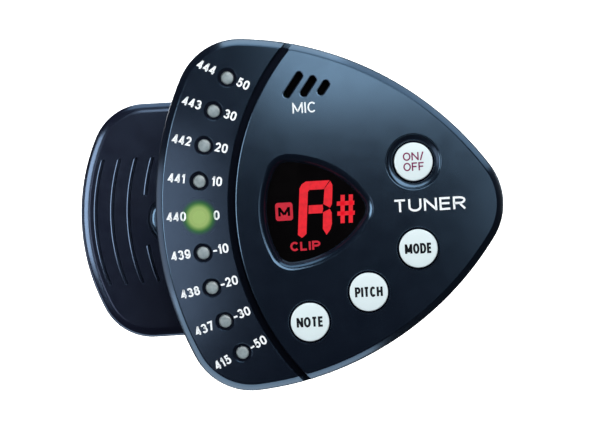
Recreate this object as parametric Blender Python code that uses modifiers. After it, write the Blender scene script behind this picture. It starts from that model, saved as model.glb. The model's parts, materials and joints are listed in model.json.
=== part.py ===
"""Clip-on instrument tuner: a pick-shaped display head on a swivel and tilt joint, carried by a sprung clip.

Everything is laid out in a bench frame, as if the tuner lay on its back: X to the right across the face,
Y up the face, and Z out of the face. The root empty then stands the tuner up, so that its face looks
along -Y and its top points along +Z. The origin is the middle of the front jaw's pad, on the face that
grips the instrument, and the pick's centre lies straight in front of it.
"""

import math

import bmesh
import bpy
from mathutils import Matrix, Vector

MM = 0.001

# The pick: a triangle of corner centres, with arcs for its corners and its long sides.
PICK_SPACING = 38.9 * MM
PICK_CORNER_R = 11.0 * MM
PICK_SIDE_R = 56.0 * MM
PICK_SIDE_AT = math.sqrt((PICK_SIDE_R - PICK_CORNER_R) ** 2 - (PICK_SPACING / 2) ** 2) - PICK_SPACING / math.sqrt(12)

# Heights above the front pad's gripping face.
JAW_INNER_Z = 2.7 * MM
JAW_OUTER_Z = 5.7 * MM
TILT_Z = 11.0 * MM
HEAD_BACK_Z = 14.0 * MM
REAR_TOP_Z = 19.85 * MM
FRONT_BOTTOM_Z = 20.15 * MM
BOARD_Z = 20.4 * MM
BOARD_T = 1.0 * MM
PARTS_Z = BOARD_Z + BOARD_T + 0.15 * MM
FACE_Z = 27.0 * MM

# The case.
SIDE_WALL = 1.6 * MM
FACE_WALL = 2.0 * MM
BACK_WALL = 2.0 * MM
FACE_CHAMFER = 1.2 * MM
BACK_CHAMFER = 2.2 * MM
BOARD_MARGIN = 3.0 * MM

# The meter: a crescent cover left of a groove, with lamps on an arc round the left side's own centre.
GROOVE_R = 42.8 * MM
GROOVE_WIDTH = 1.2 * MM
METER_COVER_T = 1.6 * MM
METER_LEDGE_T = 1.2 * MM
LAMP_ARC_R = 48.5 * MM
LAMP_STEP = math.radians(7.31)
LAMP_COUNT = 9
LAMP_R = 1.15 * MM
LAMP_HOLE_R = 1.45 * MM
LAMP_SUNK = 0.55 * MM

# The display window: the same kind of outline, smaller, at the pick's centre.
WINDOW_SPACING = 12.0 * MM
WINDOW_CORNER_R = 2.6 * MM
WINDOW_SIDE_R = 16.0 * MM
WINDOW_BEVEL = 1.3 * MM
WINDOW_BEVEL_DEPTH = 0.9 * MM
WINDOW_LAP = 0.9 * MM

# Buttons: three on an arc parallel to the lower side, and one mirrored into a dish.
BUTTON_R = 3.3 * MM
BUTTON_HOLE_R = 3.65 * MM
BUTTON_FLANGE_R = 4.1 * MM
BUTTON_FLANGE_T = 0.8 * MM
BUTTON_PROUD = 0.5 * MM
POWER_PROUD = -0.1 * MM
BUTTON_ARC_R = 46.5 * MM
BUTTON_ANGLES = {"mode": -45, "pitch": -59, "note": -73}
DISH_R = 4.65 * MM
DISH_DEPTH = 1.0 * MM
SWITCH_SIDE = 4.5 * MM
SWITCH_T = 1.5 * MM
PLUNGER_R = 1.0 * MM
PLUNGER_LENGTH = 1.4 * MM

# Microphone and its three slots.
MIC_X = 0.83 * MM
MIC_Y = 21.4 * MM
MIC_R = 3.0 * MM
MIC_T = 2.2 * MM
SLOT_R = 0.57 * MM
SLOT_PITCH = 2.6 * MM
SLOT_TILT = math.radians(53.8)
SLOT_HALF_LENGTHS = (1.96 * MM, 1.42 * MM, 0.82 * MM)

# Case screws, and the round battery door with its coin cell.
SCREW_PLACES = ((26.5 * MM, 0.0), (-7.0 * MM, 24.5 * MM), (-7.0 * MM, -24.5 * MM))
SCREW_R = 0.95 * MM
SCREW_HEAD_R = 1.8 * MM
SCREW_TIP_Z = 23.6 * MM
POST_R = 2.3 * MM
DOOR_X = 3.0 * MM
DOOR_R = 11.7 * MM
DOOR_HOLE_R = 11.95 * MM
DOOR_T = 1.2 * MM
DOOR_TAB_R = 13.1 * MM
CELL_R = 10.0 * MM
CELL_T = 3.2 * MM
CELL_Z = 15.6 * MM
DOOR_RING_TOP = 3.4 * MM
DOOR_TURN = math.radians(60)

# Tilt hinge and swivel, on one line at the head's left edge.
SWIVEL_X = -23.85 * MM
SWIVEL_BASE_R = 4.5 * MM
SWIVEL_BASE_Z = 5.4 * MM
SWIVEL_BASE_T = 1.9 * MM
SWIVEL_WELL_R = 4.9 * MM
KNUCKLE_R = 2.7 * MM
KNUCKLE_WIDTH = 5.2 * MM
EAR_WIDTH = 2.2 * MM
EAR_GAP = 0.25 * MM
TILT_PIN_R = 1.0 * MM
SWIVEL_SCREW_R = 1.25 * MM

# The clip: a flat front lever and a sloping rear lever on one pin, with a torsion spring between.
LEVER_T = 3.0 * MM
PADDLE_LEFT = -40.65 * MM
PADDLE_HALF = 20.8 * MM
PADDLE_END_R = 36.0 * MM
PADDLE_CORNER_R = 9.5 * MM
JAW_HALF = 12.5 * MM
JAW_TIP = 13.5 * MM
JAW_CORNER_R = 5.0 * MM
CLIP_PIN_X = -15.5 * MM
CLIP_PIN_Z = -3.2 * MM
CLIP_PIN_R = 1.25 * MM
REAR_TIP_Z = -4.8 * MM
REAR_SLOPE = math.radians(10)
LUG_R = 2.6 * MM
LUG_T = 2.0 * MM
FRONT_LUG_Y = 9.2 * MM
REAR_LUG_Y = 6.9 * MM
PAD_LENGTH = 22.0 * MM
PAD_WIDTH = 20.0 * MM
PAD_T = 2.5 * MM
GRIP_COUNT = 4
GRIP_FIRST_X = -37.85 * MM
GRIP_PITCH = 2.73 * MM
GRIP_R = 37.0 * MM
GRIP_HALF_LENGTH = 11.0 * MM
GRIP_WIDTH = 0.7 * MM
GRIP_DEPTH = 0.45 * MM
GRIP_CLEAR = 4.6 * MM
SPRING_WIRE_R = 0.4 * MM
SPRING_R = 2.3 * MM
SPRING_TURNS = 7
SPRING_PITCH = 0.95 * MM
SPRING_LEG = 13.0 * MM

CLEARANCE = 0.1 * MM
GAP = 0.15 * MM
OVERCUT = 1.0 * MM

COLOURS = {  # base colour, roughness, metallic
    "navy_case": ((0.022, 0.030, 0.055), 0.32, 0.0),
    "navy_clip": ((0.014, 0.019, 0.034), 0.42, 0.0),
    "white_key": ((0.86, 0.88, 0.90), 0.35, 0.0),
    "lamp": ((0.52, 0.55, 0.56), 0.30, 0.0),
    "lamp_lit": ((0.30, 0.90, 0.20), 0.30, 0.0),
    "smoked_window": ((0.010, 0.008, 0.010), 0.08, 0.0),
    "black_plastic": ((0.012, 0.012, 0.014), 0.50, 0.0),
    "rubber": ((0.020, 0.020, 0.022), 0.85, 0.0),
    "steel": ((0.62, 0.63, 0.65), 0.28, 1.0),
    "brass": ((0.72, 0.56, 0.28), 0.30, 1.0),
    "board": ((0.02, 0.16, 0.07), 0.45, 0.0),
    "ceramic": ((0.84, 0.82, 0.76), 0.50, 0.0),
    "wire_red": ((0.60, 0.03, 0.03), 0.45, 0.0),
}

bodies = {}
body_points = {}


# ---------------------------------------------------------------- scene and bodies


def clear_scene():
    for obj in list(bpy.data.objects):
        bpy.data.objects.remove(obj, do_unlink=True)


def new_collection(name):
    collection = bpy.data.collections.new(name)
    bpy.context.scene.collection.children.link(collection)
    return collection


def add_body(name, parent, point=(0, 0, 0)):
    """An empty on a joint's axis. Its place is given in the bench frame."""
    empty = bpy.data.objects.new(f"{name}_pivot", None)
    empty.empty_display_size = 3 * MM
    tuner.objects.link(empty)
    body_points[name] = Vector(point)
    bodies[name] = empty
    if parent:
        empty.parent = bodies[parent]
        empty.location = Vector(point) - body_points[parent]


def material(slot):
    found = bpy.data.materials.get(slot)
    if found:
        return found
    colour, roughness, metallic = COLOURS[slot]
    made = bpy.data.materials.new(slot)
    made.use_nodes = True
    shader = made.node_tree.nodes["Principled BSDF"]
    shader.inputs["Base Color"].default_value = (*colour, 1)
    shader.inputs["Roughness"].default_value = roughness
    shader.inputs["Metallic"].default_value = metallic
    return made


def place(obj, body, slot, point=(0, 0, 0)):
    """Makes obj a part of a body, at a point of the bench frame."""
    obj.parent = bodies[body]
    obj.location = Vector(point) - body_points[body]
    obj.data.materials.clear()
    obj.data.materials.append(material(slot))
    if obj.type == "MESH":
        obj.data.shade_smooth()
        obj.data.set_sharp_from_angle(angle=math.radians(32))
    return obj


# ---------------------------------------------------------------- outlines


def arc(centre, radius, start, end, steps):
    """Points along an arc, both ends included. Angles are in radians."""
    angles = [start + (end - start) * i / steps for i in range(steps + 1)]
    return [(centre[0] + radius * math.cos(a), centre[1] + radius * math.sin(a)) for a in angles]


def rounded_triangle(spacing, corner_r, side_r, grow=0.0, corner_steps=8, side_steps=10):
    """A triangle with round corners and bowed sides, its tip along +X. Growing it keeps every arc's centre."""
    corner_at = spacing / math.sqrt(3)
    side_at = math.sqrt((side_r - corner_r) ** 2 - (spacing / 2) ** 2) - corner_at / 2
    half_side = math.asin(spacing / 2 / (side_r - corner_r))
    half_corner = math.pi / 3 - half_side
    points = []
    for third in range(3):
        facing = third * math.tau / 3
        middle = facing + math.pi / 3
        corner = (corner_at * math.cos(facing), corner_at * math.sin(facing))
        side = (-side_at * math.cos(middle), -side_at * math.sin(middle))
        points += arc(corner, corner_r + grow, facing - half_corner, facing + half_corner, corner_steps)[:-1]
        points += arc(side, side_r + grow, middle - half_side, middle + half_side, side_steps)[:-1]
    return points


def pick(grow=0.0):
    return rounded_triangle(PICK_SPACING, PICK_CORNER_R, PICK_SIDE_R, grow)


def window(grow=0.0):
    return rounded_triangle(WINDOW_SPACING, WINDOW_CORNER_R, WINDOW_SIDE_R, grow, 6, 8)


def stadium(half_length, radius, steps=8):
    """A slot's outline along X."""
    right = arc((half_length, 0), radius, -math.pi / 2, math.pi / 2, steps)
    left = arc((-half_length, 0), radius, math.pi / 2, 1.5 * math.pi, steps)
    return right + left


def rounded_box(length, width, radius, steps=5):
    points = []
    for quarter, (sx, sy) in enumerate(((1, 1), (-1, 1), (-1, -1), (1, -1))):
        centre = (sx * (length / 2 - radius), sy * (width / 2 - radius))
        start = quarter * math.pi / 2
        points += arc(centre, radius, start, start + math.pi / 2, steps)
    return points


def lever_outline():
    """The clip lever seen from the front: a wide bowed paddle on the left, a narrower jaw on the right."""
    end_centre = (PADDLE_LEFT + PADDLE_END_R, 0)
    corner_y = PADDLE_HALF - PADDLE_CORNER_R
    reach = math.sqrt((PADDLE_END_R - PADDLE_CORNER_R) ** 2 - corner_y**2)
    corner = (end_centre[0] - reach, corner_y)
    meet = math.atan2(corner_y, -reach)
    shoulder_r, neck_r = 5.0 * MM, 3.3 * MM
    shoulder = (-21.0 * MM, PADDLE_HALF - shoulder_r)
    neck = (shoulder[0] + shoulder_r + neck_r, JAW_HALF + neck_r)
    tip = (JAW_TIP - JAW_CORNER_R, JAW_HALF - JAW_CORNER_R)
    upper = arc(tip, JAW_CORNER_R, 0, math.pi / 2, 6)
    upper += arc(neck, neck_r, 1.5 * math.pi, math.pi, 5)
    upper += arc(shoulder, shoulder_r, 0, math.pi / 2, 6)
    upper += arc(corner, PADDLE_CORNER_R, math.pi / 2, meet, 8)
    upper += arc(end_centre, PADDLE_END_R, meet, math.pi, 8)[1:]
    lower = [(x, -y) for x, y in reversed(upper[:-1])]
    return upper + lower


# ---------------------------------------------------------------- solids


def link_mesh(name, bm):
    bmesh.ops.recalc_face_normals(bm, faces=bm.faces)
    mesh = bpy.data.meshes.new(name)
    bm.to_mesh(mesh)
    bm.free()
    obj = bpy.data.objects.new(name, mesh)
    tuner.objects.link(obj)
    return obj


def mesh_of_curve(curve_obj):
    """Replaces a curve by its welded mesh, so that it can be cut."""
    tuner.objects.link(curve_obj)
    graph = bpy.context.evaluated_depsgraph_get()
    mesh = bpy.data.meshes.new_from_object(curve_obj.evaluated_get(graph))
    bm = bmesh.new()
    bm.from_mesh(mesh)
    bmesh.ops.remove_doubles(bm, verts=bm.verts, dist=1e-6)
    bmesh.ops.dissolve_limit(bm, angle_limit=1e-3, verts=bm.verts, edges=bm.edges)
    name = curve_obj.name
    bpy.data.objects.remove(curve_obj)
    bpy.data.meshes.remove(mesh)
    return link_mesh(name, bm)


def plate(name, outline, height):
    """A flat plate of that outline, from Z 0 up to its height."""
    curve = bpy.data.curves.new(name, "CURVE")
    curve.dimensions = "2D"
    curve.fill_mode = "BOTH"
    curve.extrude = height / 2
    spline = curve.splines.new("POLY")
    spline.points.add(len(outline) - 1)
    for point, (x, y) in zip(spline.points, outline):
        point.co = (x, y, 0, 1)
    spline.use_cyclic_u = True
    obj = mesh_of_curve(bpy.data.objects.new(name, curve))
    obj.data.transform(Matrix.Translation((0, 0, height / 2)))
    return obj


def side_plate(name, outline, width):
    """A plate whose outline is drawn in X and Z, and whose width runs along Y, centred on Y 0."""
    obj = plate(name, outline, width)
    obj.data.transform(Matrix.Translation((0, width / 2, 0)) @ Matrix.Rotation(math.pi / 2, 4, "X"))
    return obj


def turned(name, profile, steps=28):
    """A turned piece about Z. Its profile of (radius, height) runs from the top of the axis to the bottom.

    A profile that ends where it starts makes a ring.
    """
    bm = bmesh.new()
    points = [bm.verts.new((radius, 0, height)) for radius, height in profile]
    for a, b in zip(points, points[1:]):
        bm.edges.new((a, b))
    if profile[0] == profile[-1]:
        bmesh.ops.weld_verts(bm, targetmap={points[-1]: points[0]})
    mesh = bpy.data.meshes.new(name)
    bm.to_mesh(mesh)
    bm.free()
    obj = bpy.data.objects.new(name, mesh)
    tuner.objects.link(obj)
    screw = obj.modifiers.new("turn", "SCREW")
    screw.steps = screw.render_steps = steps
    screw.use_merge_vertices = True
    screw.merge_threshold = 1e-6
    return obj


def disc(name, radius, height, steps=28):
    """A plain round piece, from Z 0 up to its height."""
    bm = bmesh.new()
    bmesh.ops.create_cone(
        bm, cap_ends=True, segments=steps, radius1=radius, radius2=radius, depth=height,
        matrix=Matrix.Translation((0, 0, height / 2)),
    )
    return link_mesh(name, bm)


def rod(name, radius, length, steps=24):
    """A round rod along Y, centred."""
    obj = disc(name, radius, length, steps)
    obj.data.transform(Matrix.Rotation(math.pi / 2, 4, "X") @ Matrix.Translation((0, 0, -length / 2)))
    return obj


def loft(name, levels):
    """A solid through outlines of as many points each. The levels are (outline, height), lowest first."""
    bm = bmesh.new()
    rings = [[bm.verts.new((x, y, height)) for x, y in outline] for outline, height in levels]
    bm.faces.new(rings[0])
    bm.faces.new(rings[-1])
    for low, high in zip(rings, rings[1:]):
        for i, vert in enumerate(low):
            after = (i + 1) % len(low)
            bm.faces.new((vert, low[after], high[after], high[i]))
    return link_mesh(name, bm)


def wire(name, points, radius, body, slot):
    """A round wire through points of the bench frame."""
    curve = bpy.data.curves.new(name, "CURVE")
    curve.dimensions = "3D"
    curve.bevel_depth = radius
    curve.bevel_resolution = 2
    curve.use_fill_caps = True
    spline = curve.splines.new("POLY")
    spline.points.add(len(points) - 1)
    for point, place_at in zip(spline.points, points):
        point.co = (*place_at, 1)
    obj = bpy.data.objects.new(name, curve)
    tuner.objects.link(obj)
    return place(obj, body, slot)


def round_rim(obj, height, width, segments):
    """Bevels the edges that lie at one height."""
    weights = obj.data.attributes.new("bevel_weight_edge", "FLOAT", "EDGE")
    for edge in obj.data.edges:
        if all(abs(obj.data.vertices[i].co.z - height) < 1e-6 for i in edge.vertices):
            weights.data[edge.index].value = 1
    bevel = obj.modifiers.new("rim", "BEVEL")
    bevel.limit_method = "WEIGHT"
    bevel.width = width
    bevel.segments = segments


def boolean(obj, other, body, point, operation):
    """Cuts other from obj, joins it or keeps their common part. other stays as a hidden helper."""
    other.parent = bodies[body]
    other.location = Vector(point) - body_points[body]
    other.hide_render = True
    other.display_type = "WIRE"
    tuner.objects.unlink(other)
    cutters.objects.link(other)
    modifier = obj.modifiers.new(other.name, "BOOLEAN")
    modifier.object = other
    modifier.operation = operation
    modifier.solver = "EXACT"


def cut(obj, other, body, point=(0, 0, 0)):
    boolean(obj, other, body, point, "DIFFERENCE")


def join(obj, other, body, point=(0, 0, 0)):
    boolean(obj, other, body, point, "UNION")


def keep_common(obj, other, body, point=(0, 0, 0)):
    boolean(obj, other, body, point, "INTERSECT")


# ---------------------------------------------------------------- places on the face


def lamp_places():
    middle = (LAMP_COUNT - 1) / 2
    for i in range(LAMP_COUNT):
        angle = (middle - i) * LAMP_STEP
        yield PICK_SIDE_AT - LAMP_ARC_R * math.cos(angle), LAMP_ARC_R * math.sin(angle)


def button_places():
    """Button name to its place. The lower side's own centre lies a third of a turn round from +X."""
    centre = (PICK_SIDE_AT * math.cos(math.tau / 3), PICK_SIDE_AT * math.sin(math.tau / 3))
    places = {}
    for name, degrees in BUTTON_ANGLES.items():
        angle = math.radians(degrees)
        places[name] = (centre[0] + BUTTON_ARC_R * math.cos(angle), centre[1] + BUTTON_ARC_R * math.sin(angle))
    places["on_off"] = (places["mode"][0], -places["mode"][1])
    return places


# ---------------------------------------------------------------- the head's case


def face_ring(name, inner_r, height):
    """A wide flat ring round the left side's centre, for whatever lies left of the groove."""
    outer_r = PICK_SIDE_R + 10 * MM
    return turned(name, [(inner_r, height), (outer_r, height), (outer_r, 0), (inner_r, 0), (inner_r, height)], 96)


def front_cover():
    height = FACE_Z - FRONT_BOTTOM_Z
    cover = plate("front_cover", pick(), height)
    round_rim(cover, height, FACE_CHAMFER, 1)
    place(cover, "head", "navy_case", (0, 0, FRONT_BOTTOM_Z))
    crescent_top = FACE_Z - METER_COVER_T - GAP
    ledge_bottom = crescent_top - METER_LEDGE_T
    floor = FRONT_BOTTOM_Z - OVERCUT
    cut(cover, plate("cut_case_low", pick(-SIDE_WALL), ledge_bottom - floor), "head", (0, 0, floor))
    main_bay = plate("cut_case_high", pick(-SIDE_WALL - 0.2 * MM), FACE_Z - FACE_WALL - ledge_bottom + OVERCUT)
    bay_round = disc("keep_right_of_ledge", GROOVE_R - GROOVE_WIDTH / 2 - SIDE_WALL, 20 * MM, 96)
    keep_common(main_bay, bay_round, "head", (PICK_SIDE_AT, 0, 12 * MM))
    cut(cover, main_bay, "head", (0, 0, ledge_bottom - OVERCUT))
    ring = face_ring("cut_crescent", GROOVE_R - GROOVE_WIDTH / 2, 5 * MM)
    cut(cover, ring, "head", (PICK_SIDE_AT, 0, crescent_top))
    for i, (x, y) in enumerate(SCREW_PLACES, 1):
        boss_height = FACE_Z - FACE_WALL - FRONT_BOTTOM_Z + 0.5 * MM
        if x < 0:
            boss_height = ledge_bottom - FRONT_BOTTOM_Z + 0.5 * MM
        join(cover, disc(f"add_boss_{i}", POST_R, boss_height, 14), "head", (x, y, FRONT_BOTTOM_Z))
    for i, (x, y) in enumerate(SCREW_PLACES, 1):
        depth = SCREW_TIP_Z + GAP - FRONT_BOTTOM_Z + OVERCUT
        hole = disc(f"cut_pilot_{i}", SCREW_R + CLEARANCE, depth, 12)
        cut(cover, hole, "head", (x, y, FRONT_BOTTOM_Z - OVERCUT))
    for i, (x, y) in enumerate(lamp_places(), 1):
        cut(cover, disc(f"cut_ledge_{i}", LAMP_R + 0.45 * MM, 4 * MM, 12), "head", (x, y, ledge_bottom - OVERCUT))
    cut_face(cover)


def cut_face(cover):
    """The window's bevelled recess and pocket, the button holes, the power button's dish and the slots."""
    over = 0.3 * MM
    wide = WINDOW_BEVEL * (1 + over / WINDOW_BEVEL_DEPTH)
    levels = [(window(), -2.5 * MM), (window(), -WINDOW_BEVEL_DEPTH), (window(wide), over)]
    cut(cover, loft("cut_window", levels), "head", (0, 0, FACE_Z))
    pocket_top = FACE_Z - WINDOW_BEVEL_DEPTH - 0.2 * MM
    pocket = plate("cut_window_pocket", window(WINDOW_LAP + 0.2 * MM), 3 * MM)
    cut(cover, pocket, "head", (0, 0, pocket_top - 3 * MM))
    hole_bottom = FACE_Z - FACE_WALL - OVERCUT
    for name, (x, y) in button_places().items():
        cut(cover, disc(f"cut_{name}_hole", BUTTON_HOLE_R, 5 * MM, 28), "head", (x, y, hole_bottom))
    x, y = button_places()["on_off"]
    dish = turned(
        "cut_on_off_dish",
        [
            (0, OVERCUT),
            (DISH_R, OVERCUT),
            (DISH_R, 0),
            (DISH_R - 0.25 * MM, -0.45 * DISH_DEPTH),
            (BUTTON_HOLE_R - 0.1 * MM, -DISH_DEPTH),
            (0, -DISH_DEPTH),
        ],
        32,
    )
    cut(cover, dish, "head", (x, y, FACE_Z))
    for i, half in enumerate(SLOT_HALF_LENGTHS):
        slot = plate(f"cut_mic_slot_{i + 1}", stadium(half, SLOT_R, 6), 5 * MM)
        slot.rotation_euler.z = SLOT_TILT
        x = MIC_X + (i - 1) * SLOT_PITCH
        y = MIC_Y - (i - 1) * 0.39 * MM
        cut(cover, slot, "head", (x, y, hole_bottom))


def meter_cover():
    cover = plate("meter_cover", pick(), METER_COVER_T)
    round_rim(cover, METER_COVER_T, FACE_CHAMFER, 1)
    bottom = FACE_Z - METER_COVER_T
    place(cover, "head", "navy_case", (0, 0, bottom))
    ring = face_ring("keep_crescent", GROOVE_R + GROOVE_WIDTH / 2, 5 * MM)
    keep_common(cover, ring, "head", (PICK_SIDE_AT, 0, bottom - 2 * MM))
    for i, (x, y) in enumerate(lamp_places(), 1):
        cut(cover, disc(f"cut_lamp_{i}", LAMP_HOLE_R, 5 * MM, 18), "head", (x, y, bottom - 2 * MM))


def rear_cover():
    height = REAR_TOP_Z - HEAD_BACK_Z
    cover = plate("rear_cover", pick(), height)
    round_rim(cover, 0, BACK_CHAMFER, 2)
    place(cover, "head", "navy_case", (0, 0, HEAD_BACK_Z))
    floor = HEAD_BACK_Z + BACK_WALL
    cut(cover, plate("cut_rear_bay", pick(-SIDE_WALL - 0.6 * MM), 8 * MM), "head", (0, 0, floor))
    for i, (x, y) in enumerate(SCREW_PLACES, 1):
        post = disc(f"add_post_{i}", POST_R, REAR_TOP_Z - floor + 0.5 * MM, 14)
        join(cover, post, "head", (x, y, floor - 0.5 * MM))
    for side, sign in (("upper", 1), ("lower", -1)):
        ear = side_plate(f"add_{side}_ear", knuckle_outline(HEAD_BACK_Z + 1 * MM - TILT_Z), EAR_WIDTH)
        y = sign * (KNUCKLE_WIDTH / 2 + EAR_GAP + EAR_WIDTH / 2)
        join(cover, ear, "head", (SWIVEL_X, y, TILT_Z))
    for i, (x, y) in enumerate(SCREW_PLACES, 1):
        cut(cover, disc(f"cut_screw_way_{i}", SCREW_R + 0.15 * MM, 12 * MM, 12), "head", (x, y, 12 * MM))
        head = disc(f"cut_screw_seat_{i}", SCREW_HEAD_R + 0.2 * MM, 4 * MM, 16)
        cut(cover, head, "head", (x, y, HEAD_BACK_Z + 1.5 * MM - 4 * MM))
    cut(cover, disc("cut_door", DOOR_HOLE_R, 6 * MM, 36), "head", (DOOR_X, 0, HEAD_BACK_Z - 2 * MM))
    entry = plate("cut_door_entries", rounded_box(2 * DOOR_TAB_R + 0.6 * MM, 6.6 * MM, 1 * MM, 2), 6 * MM)
    entry.rotation_euler.z = -DOOR_TURN
    cut(cover, entry, "head", (DOOR_X, 0, HEAD_BACK_Z - 2 * MM))
    pin_way = rod("cut_tilt_pin_way", TILT_PIN_R + CLEARANCE, 20 * MM)
    cut(cover, pin_way, "head", (SWIVEL_X, 0, TILT_Z))


def knuckle_outline(rise):
    """A hinge knuckle in X and Z: round about the pin, with straight flanks that rise from it."""
    below = arc((0, 0), KNUCKLE_R, math.pi, math.tau, 12)
    return below + [(KNUCKLE_R, rise), (-KNUCKLE_R, rise)]


def case_screws():
    for i, (x, y) in enumerate(SCREW_PLACES, 1):
        head_low, head_high = HEAD_BACK_Z + 0.35 * MM, HEAD_BACK_Z + 1.35 * MM
        profile = [
            (0, SCREW_TIP_Z - head_low),
            (0.4 * SCREW_R, SCREW_TIP_Z - head_low),
            (SCREW_R, SCREW_TIP_Z - 1.2 * MM - head_low),
            (SCREW_R, head_high - head_low),
            (SCREW_HEAD_R, head_high - head_low),
            (SCREW_HEAD_R, 0.35 * MM),
            (0.75 * SCREW_HEAD_R, 0),
            (0, 0),
        ]
        screw = turned(f"case_screw_{i}", profile, 16)
        place(screw, "head", "steel", (x, y, head_low))
        for arm in (0, 1):
            slot = plate(f"cut_cross_{i}_{arm}", rounded_box(2.2 * MM, 0.5 * MM, 0.1 * MM, 1), 1.4 * MM)
            slot.rotation_euler.z = arm * math.pi / 2
            cut(screw, slot, "head", (x, y, head_low - 0.9 * MM))


# ---------------------------------------------------------------- what the case holds


def display():
    glass_top = FACE_Z - WINDOW_BEVEL_DEPTH - 0.2 * MM - GAP
    glass = plate("display_window", window(WINDOW_LAP), 1.0 * MM)
    place(glass, "head", "smoked_window", (0, 0, glass_top - 1.0 * MM))
    module = plate("display_module", window(0.6 * MM), glass_top - 1.3 * MM - PARTS_Z)
    place(module, "head", "black_plastic", (0, 0, PARTS_Z))


def circuit_board():
    board = plate("circuit_board", pick(-BOARD_MARGIN), BOARD_T)
    place(board, "head", "board", (0, 0, BOARD_Z))
    for i, (x, y) in enumerate(SCREW_PLACES, 1):
        cut(board, disc(f"cut_board_{i}", POST_R + 0.4 * MM, 4 * MM, 14), "head", (x, y, BOARD_Z - 2 * MM))
    chip = plate("controller_chip", rounded_box(6 * MM, 6 * MM, 0.2 * MM, 2), 1.0 * MM)
    place(chip, "head", "black_plastic", (-3 * MM, 13.2 * MM, PARTS_Z))
    crystal = plate("quartz_crystal", stadium(2.2 * MM, 1.5 * MM, 8), 1.6 * MM)
    place(crystal, "head", "steel", (6.5 * MM, 14.2 * MM, PARTS_Z))


def meter_lamps():
    """Round lamps with a flange on the board and a low dome just under the meter cover's face."""
    height = FACE_Z - LAMP_SUNK - PARTS_Z
    profile = [
        (0, height),
        (0.55 * LAMP_R, height - 0.07 * MM),
        (LAMP_R, height - 0.3 * MM),
        (LAMP_R, 0.9 * MM),
        (LAMP_R + 0.3 * MM, 0.9 * MM),
        (LAMP_R + 0.3 * MM, 0),
        (0, 0),
    ]
    for i, (x, y) in enumerate(lamp_places(), 1):
        lit = i == (LAMP_COUNT + 1) // 2
        lamp = turned(f"meter_lamp_{i}", profile, 14)
        place(lamp, "head", "lamp_lit" if lit else "lamp", (x, y, PARTS_Z))


def buttons():
    """A cap with a flange under the face, on the plunger of a tact switch."""
    flange_z = FACE_Z - FACE_WALL - 0.3 * MM - BUTTON_FLANGE_T
    for name, (x, y) in button_places().items():
        proud = POWER_PROUD if name == "on_off" else BUTTON_PROUD
        top = FACE_Z + proud - flange_z
        add_body(f"{name}_button", "head", (x, y, FACE_Z))
        profile = [
            (0, top),
            (BUTTON_R - 0.9 * MM, top - 0.02 * MM),
            (BUTTON_R - 0.3 * MM, top - 0.1 * MM),
            (BUTTON_R, top - 0.4 * MM),
            (BUTTON_R, BUTTON_FLANGE_T),
            (BUTTON_FLANGE_R, BUTTON_FLANGE_T),
            (BUTTON_FLANGE_R, 0),
            (0, 0),
        ]
        cap = turned(f"{name}_cap", profile, 24)
        place(cap, f"{name}_button", "white_key", (x, y, flange_z))
        plunger = disc(f"{name}_plunger", PLUNGER_R, PLUNGER_LENGTH, 14)
        place(plunger, f"{name}_button", "black_plastic", (x, y, flange_z - GAP - PLUNGER_LENGTH))
        switch = plate(f"{name}_switch", rounded_box(SWITCH_SIDE, SWITCH_SIDE, 0.3 * MM, 2), SWITCH_T)
        place(switch, "head", "steel", (x, y, PARTS_Z))
        well = disc(f"cut_{name}_well", PLUNGER_R + 0.15 * MM, 2 * MM, 14)
        cut(switch, well, "head", (x, y, PARTS_Z + 0.3 * MM))


def microphone():
    mic = disc("microphone", MIC_R, MIC_T, 28)
    place(mic, "head", "steel", (MIC_X, MIC_Y, PARTS_Z))
    wall, low = 0.7 * MM, 0.8 * MM
    high = FACE_Z - FACE_WALL - GAP - PARTS_Z
    inner, outer = MIC_R + CLEARANCE, MIC_R + CLEARANCE + wall
    profile = [(inner, high), (outer, high), (outer, low), (inner, low), (inner, high)]
    place(turned("mic_gasket", profile, 28), "head", "rubber", (MIC_X, MIC_Y, PARTS_Z))


def piezo_sensor():
    x, z = -17.2 * MM, HEAD_BACK_Z + BACK_WALL + GAP
    place(disc("piezo_disc", 4.9 * MM, 0.4 * MM, 36), "head", "brass", (x, 0, z))
    place(disc("piezo_ceramic", 3.4 * MM, 0.25 * MM, 28), "head", "ceramic", (x, 0, z + 0.4 * MM + GAP))
    for name, slot, y in (("piezo_wire_signal", "wire_red", 2.0 * MM), ("piezo_wire_ground", "rubber", -4.2 * MM)):
        start = z + (0.95 * MM if y > 0 else 0.7 * MM) + 0.3 * MM
        end = BOARD_Z - 0.45 * MM
        points = []
        for i in range(9):
            t = i / 8
            eased = t * t * (3 - 2 * t)
            points.append((x - 4.0 * MM * math.sin(math.pi * t), y, start + (end - start) * eased))
        wire(name, points, 0.25 * MM, "head", slot)


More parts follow.
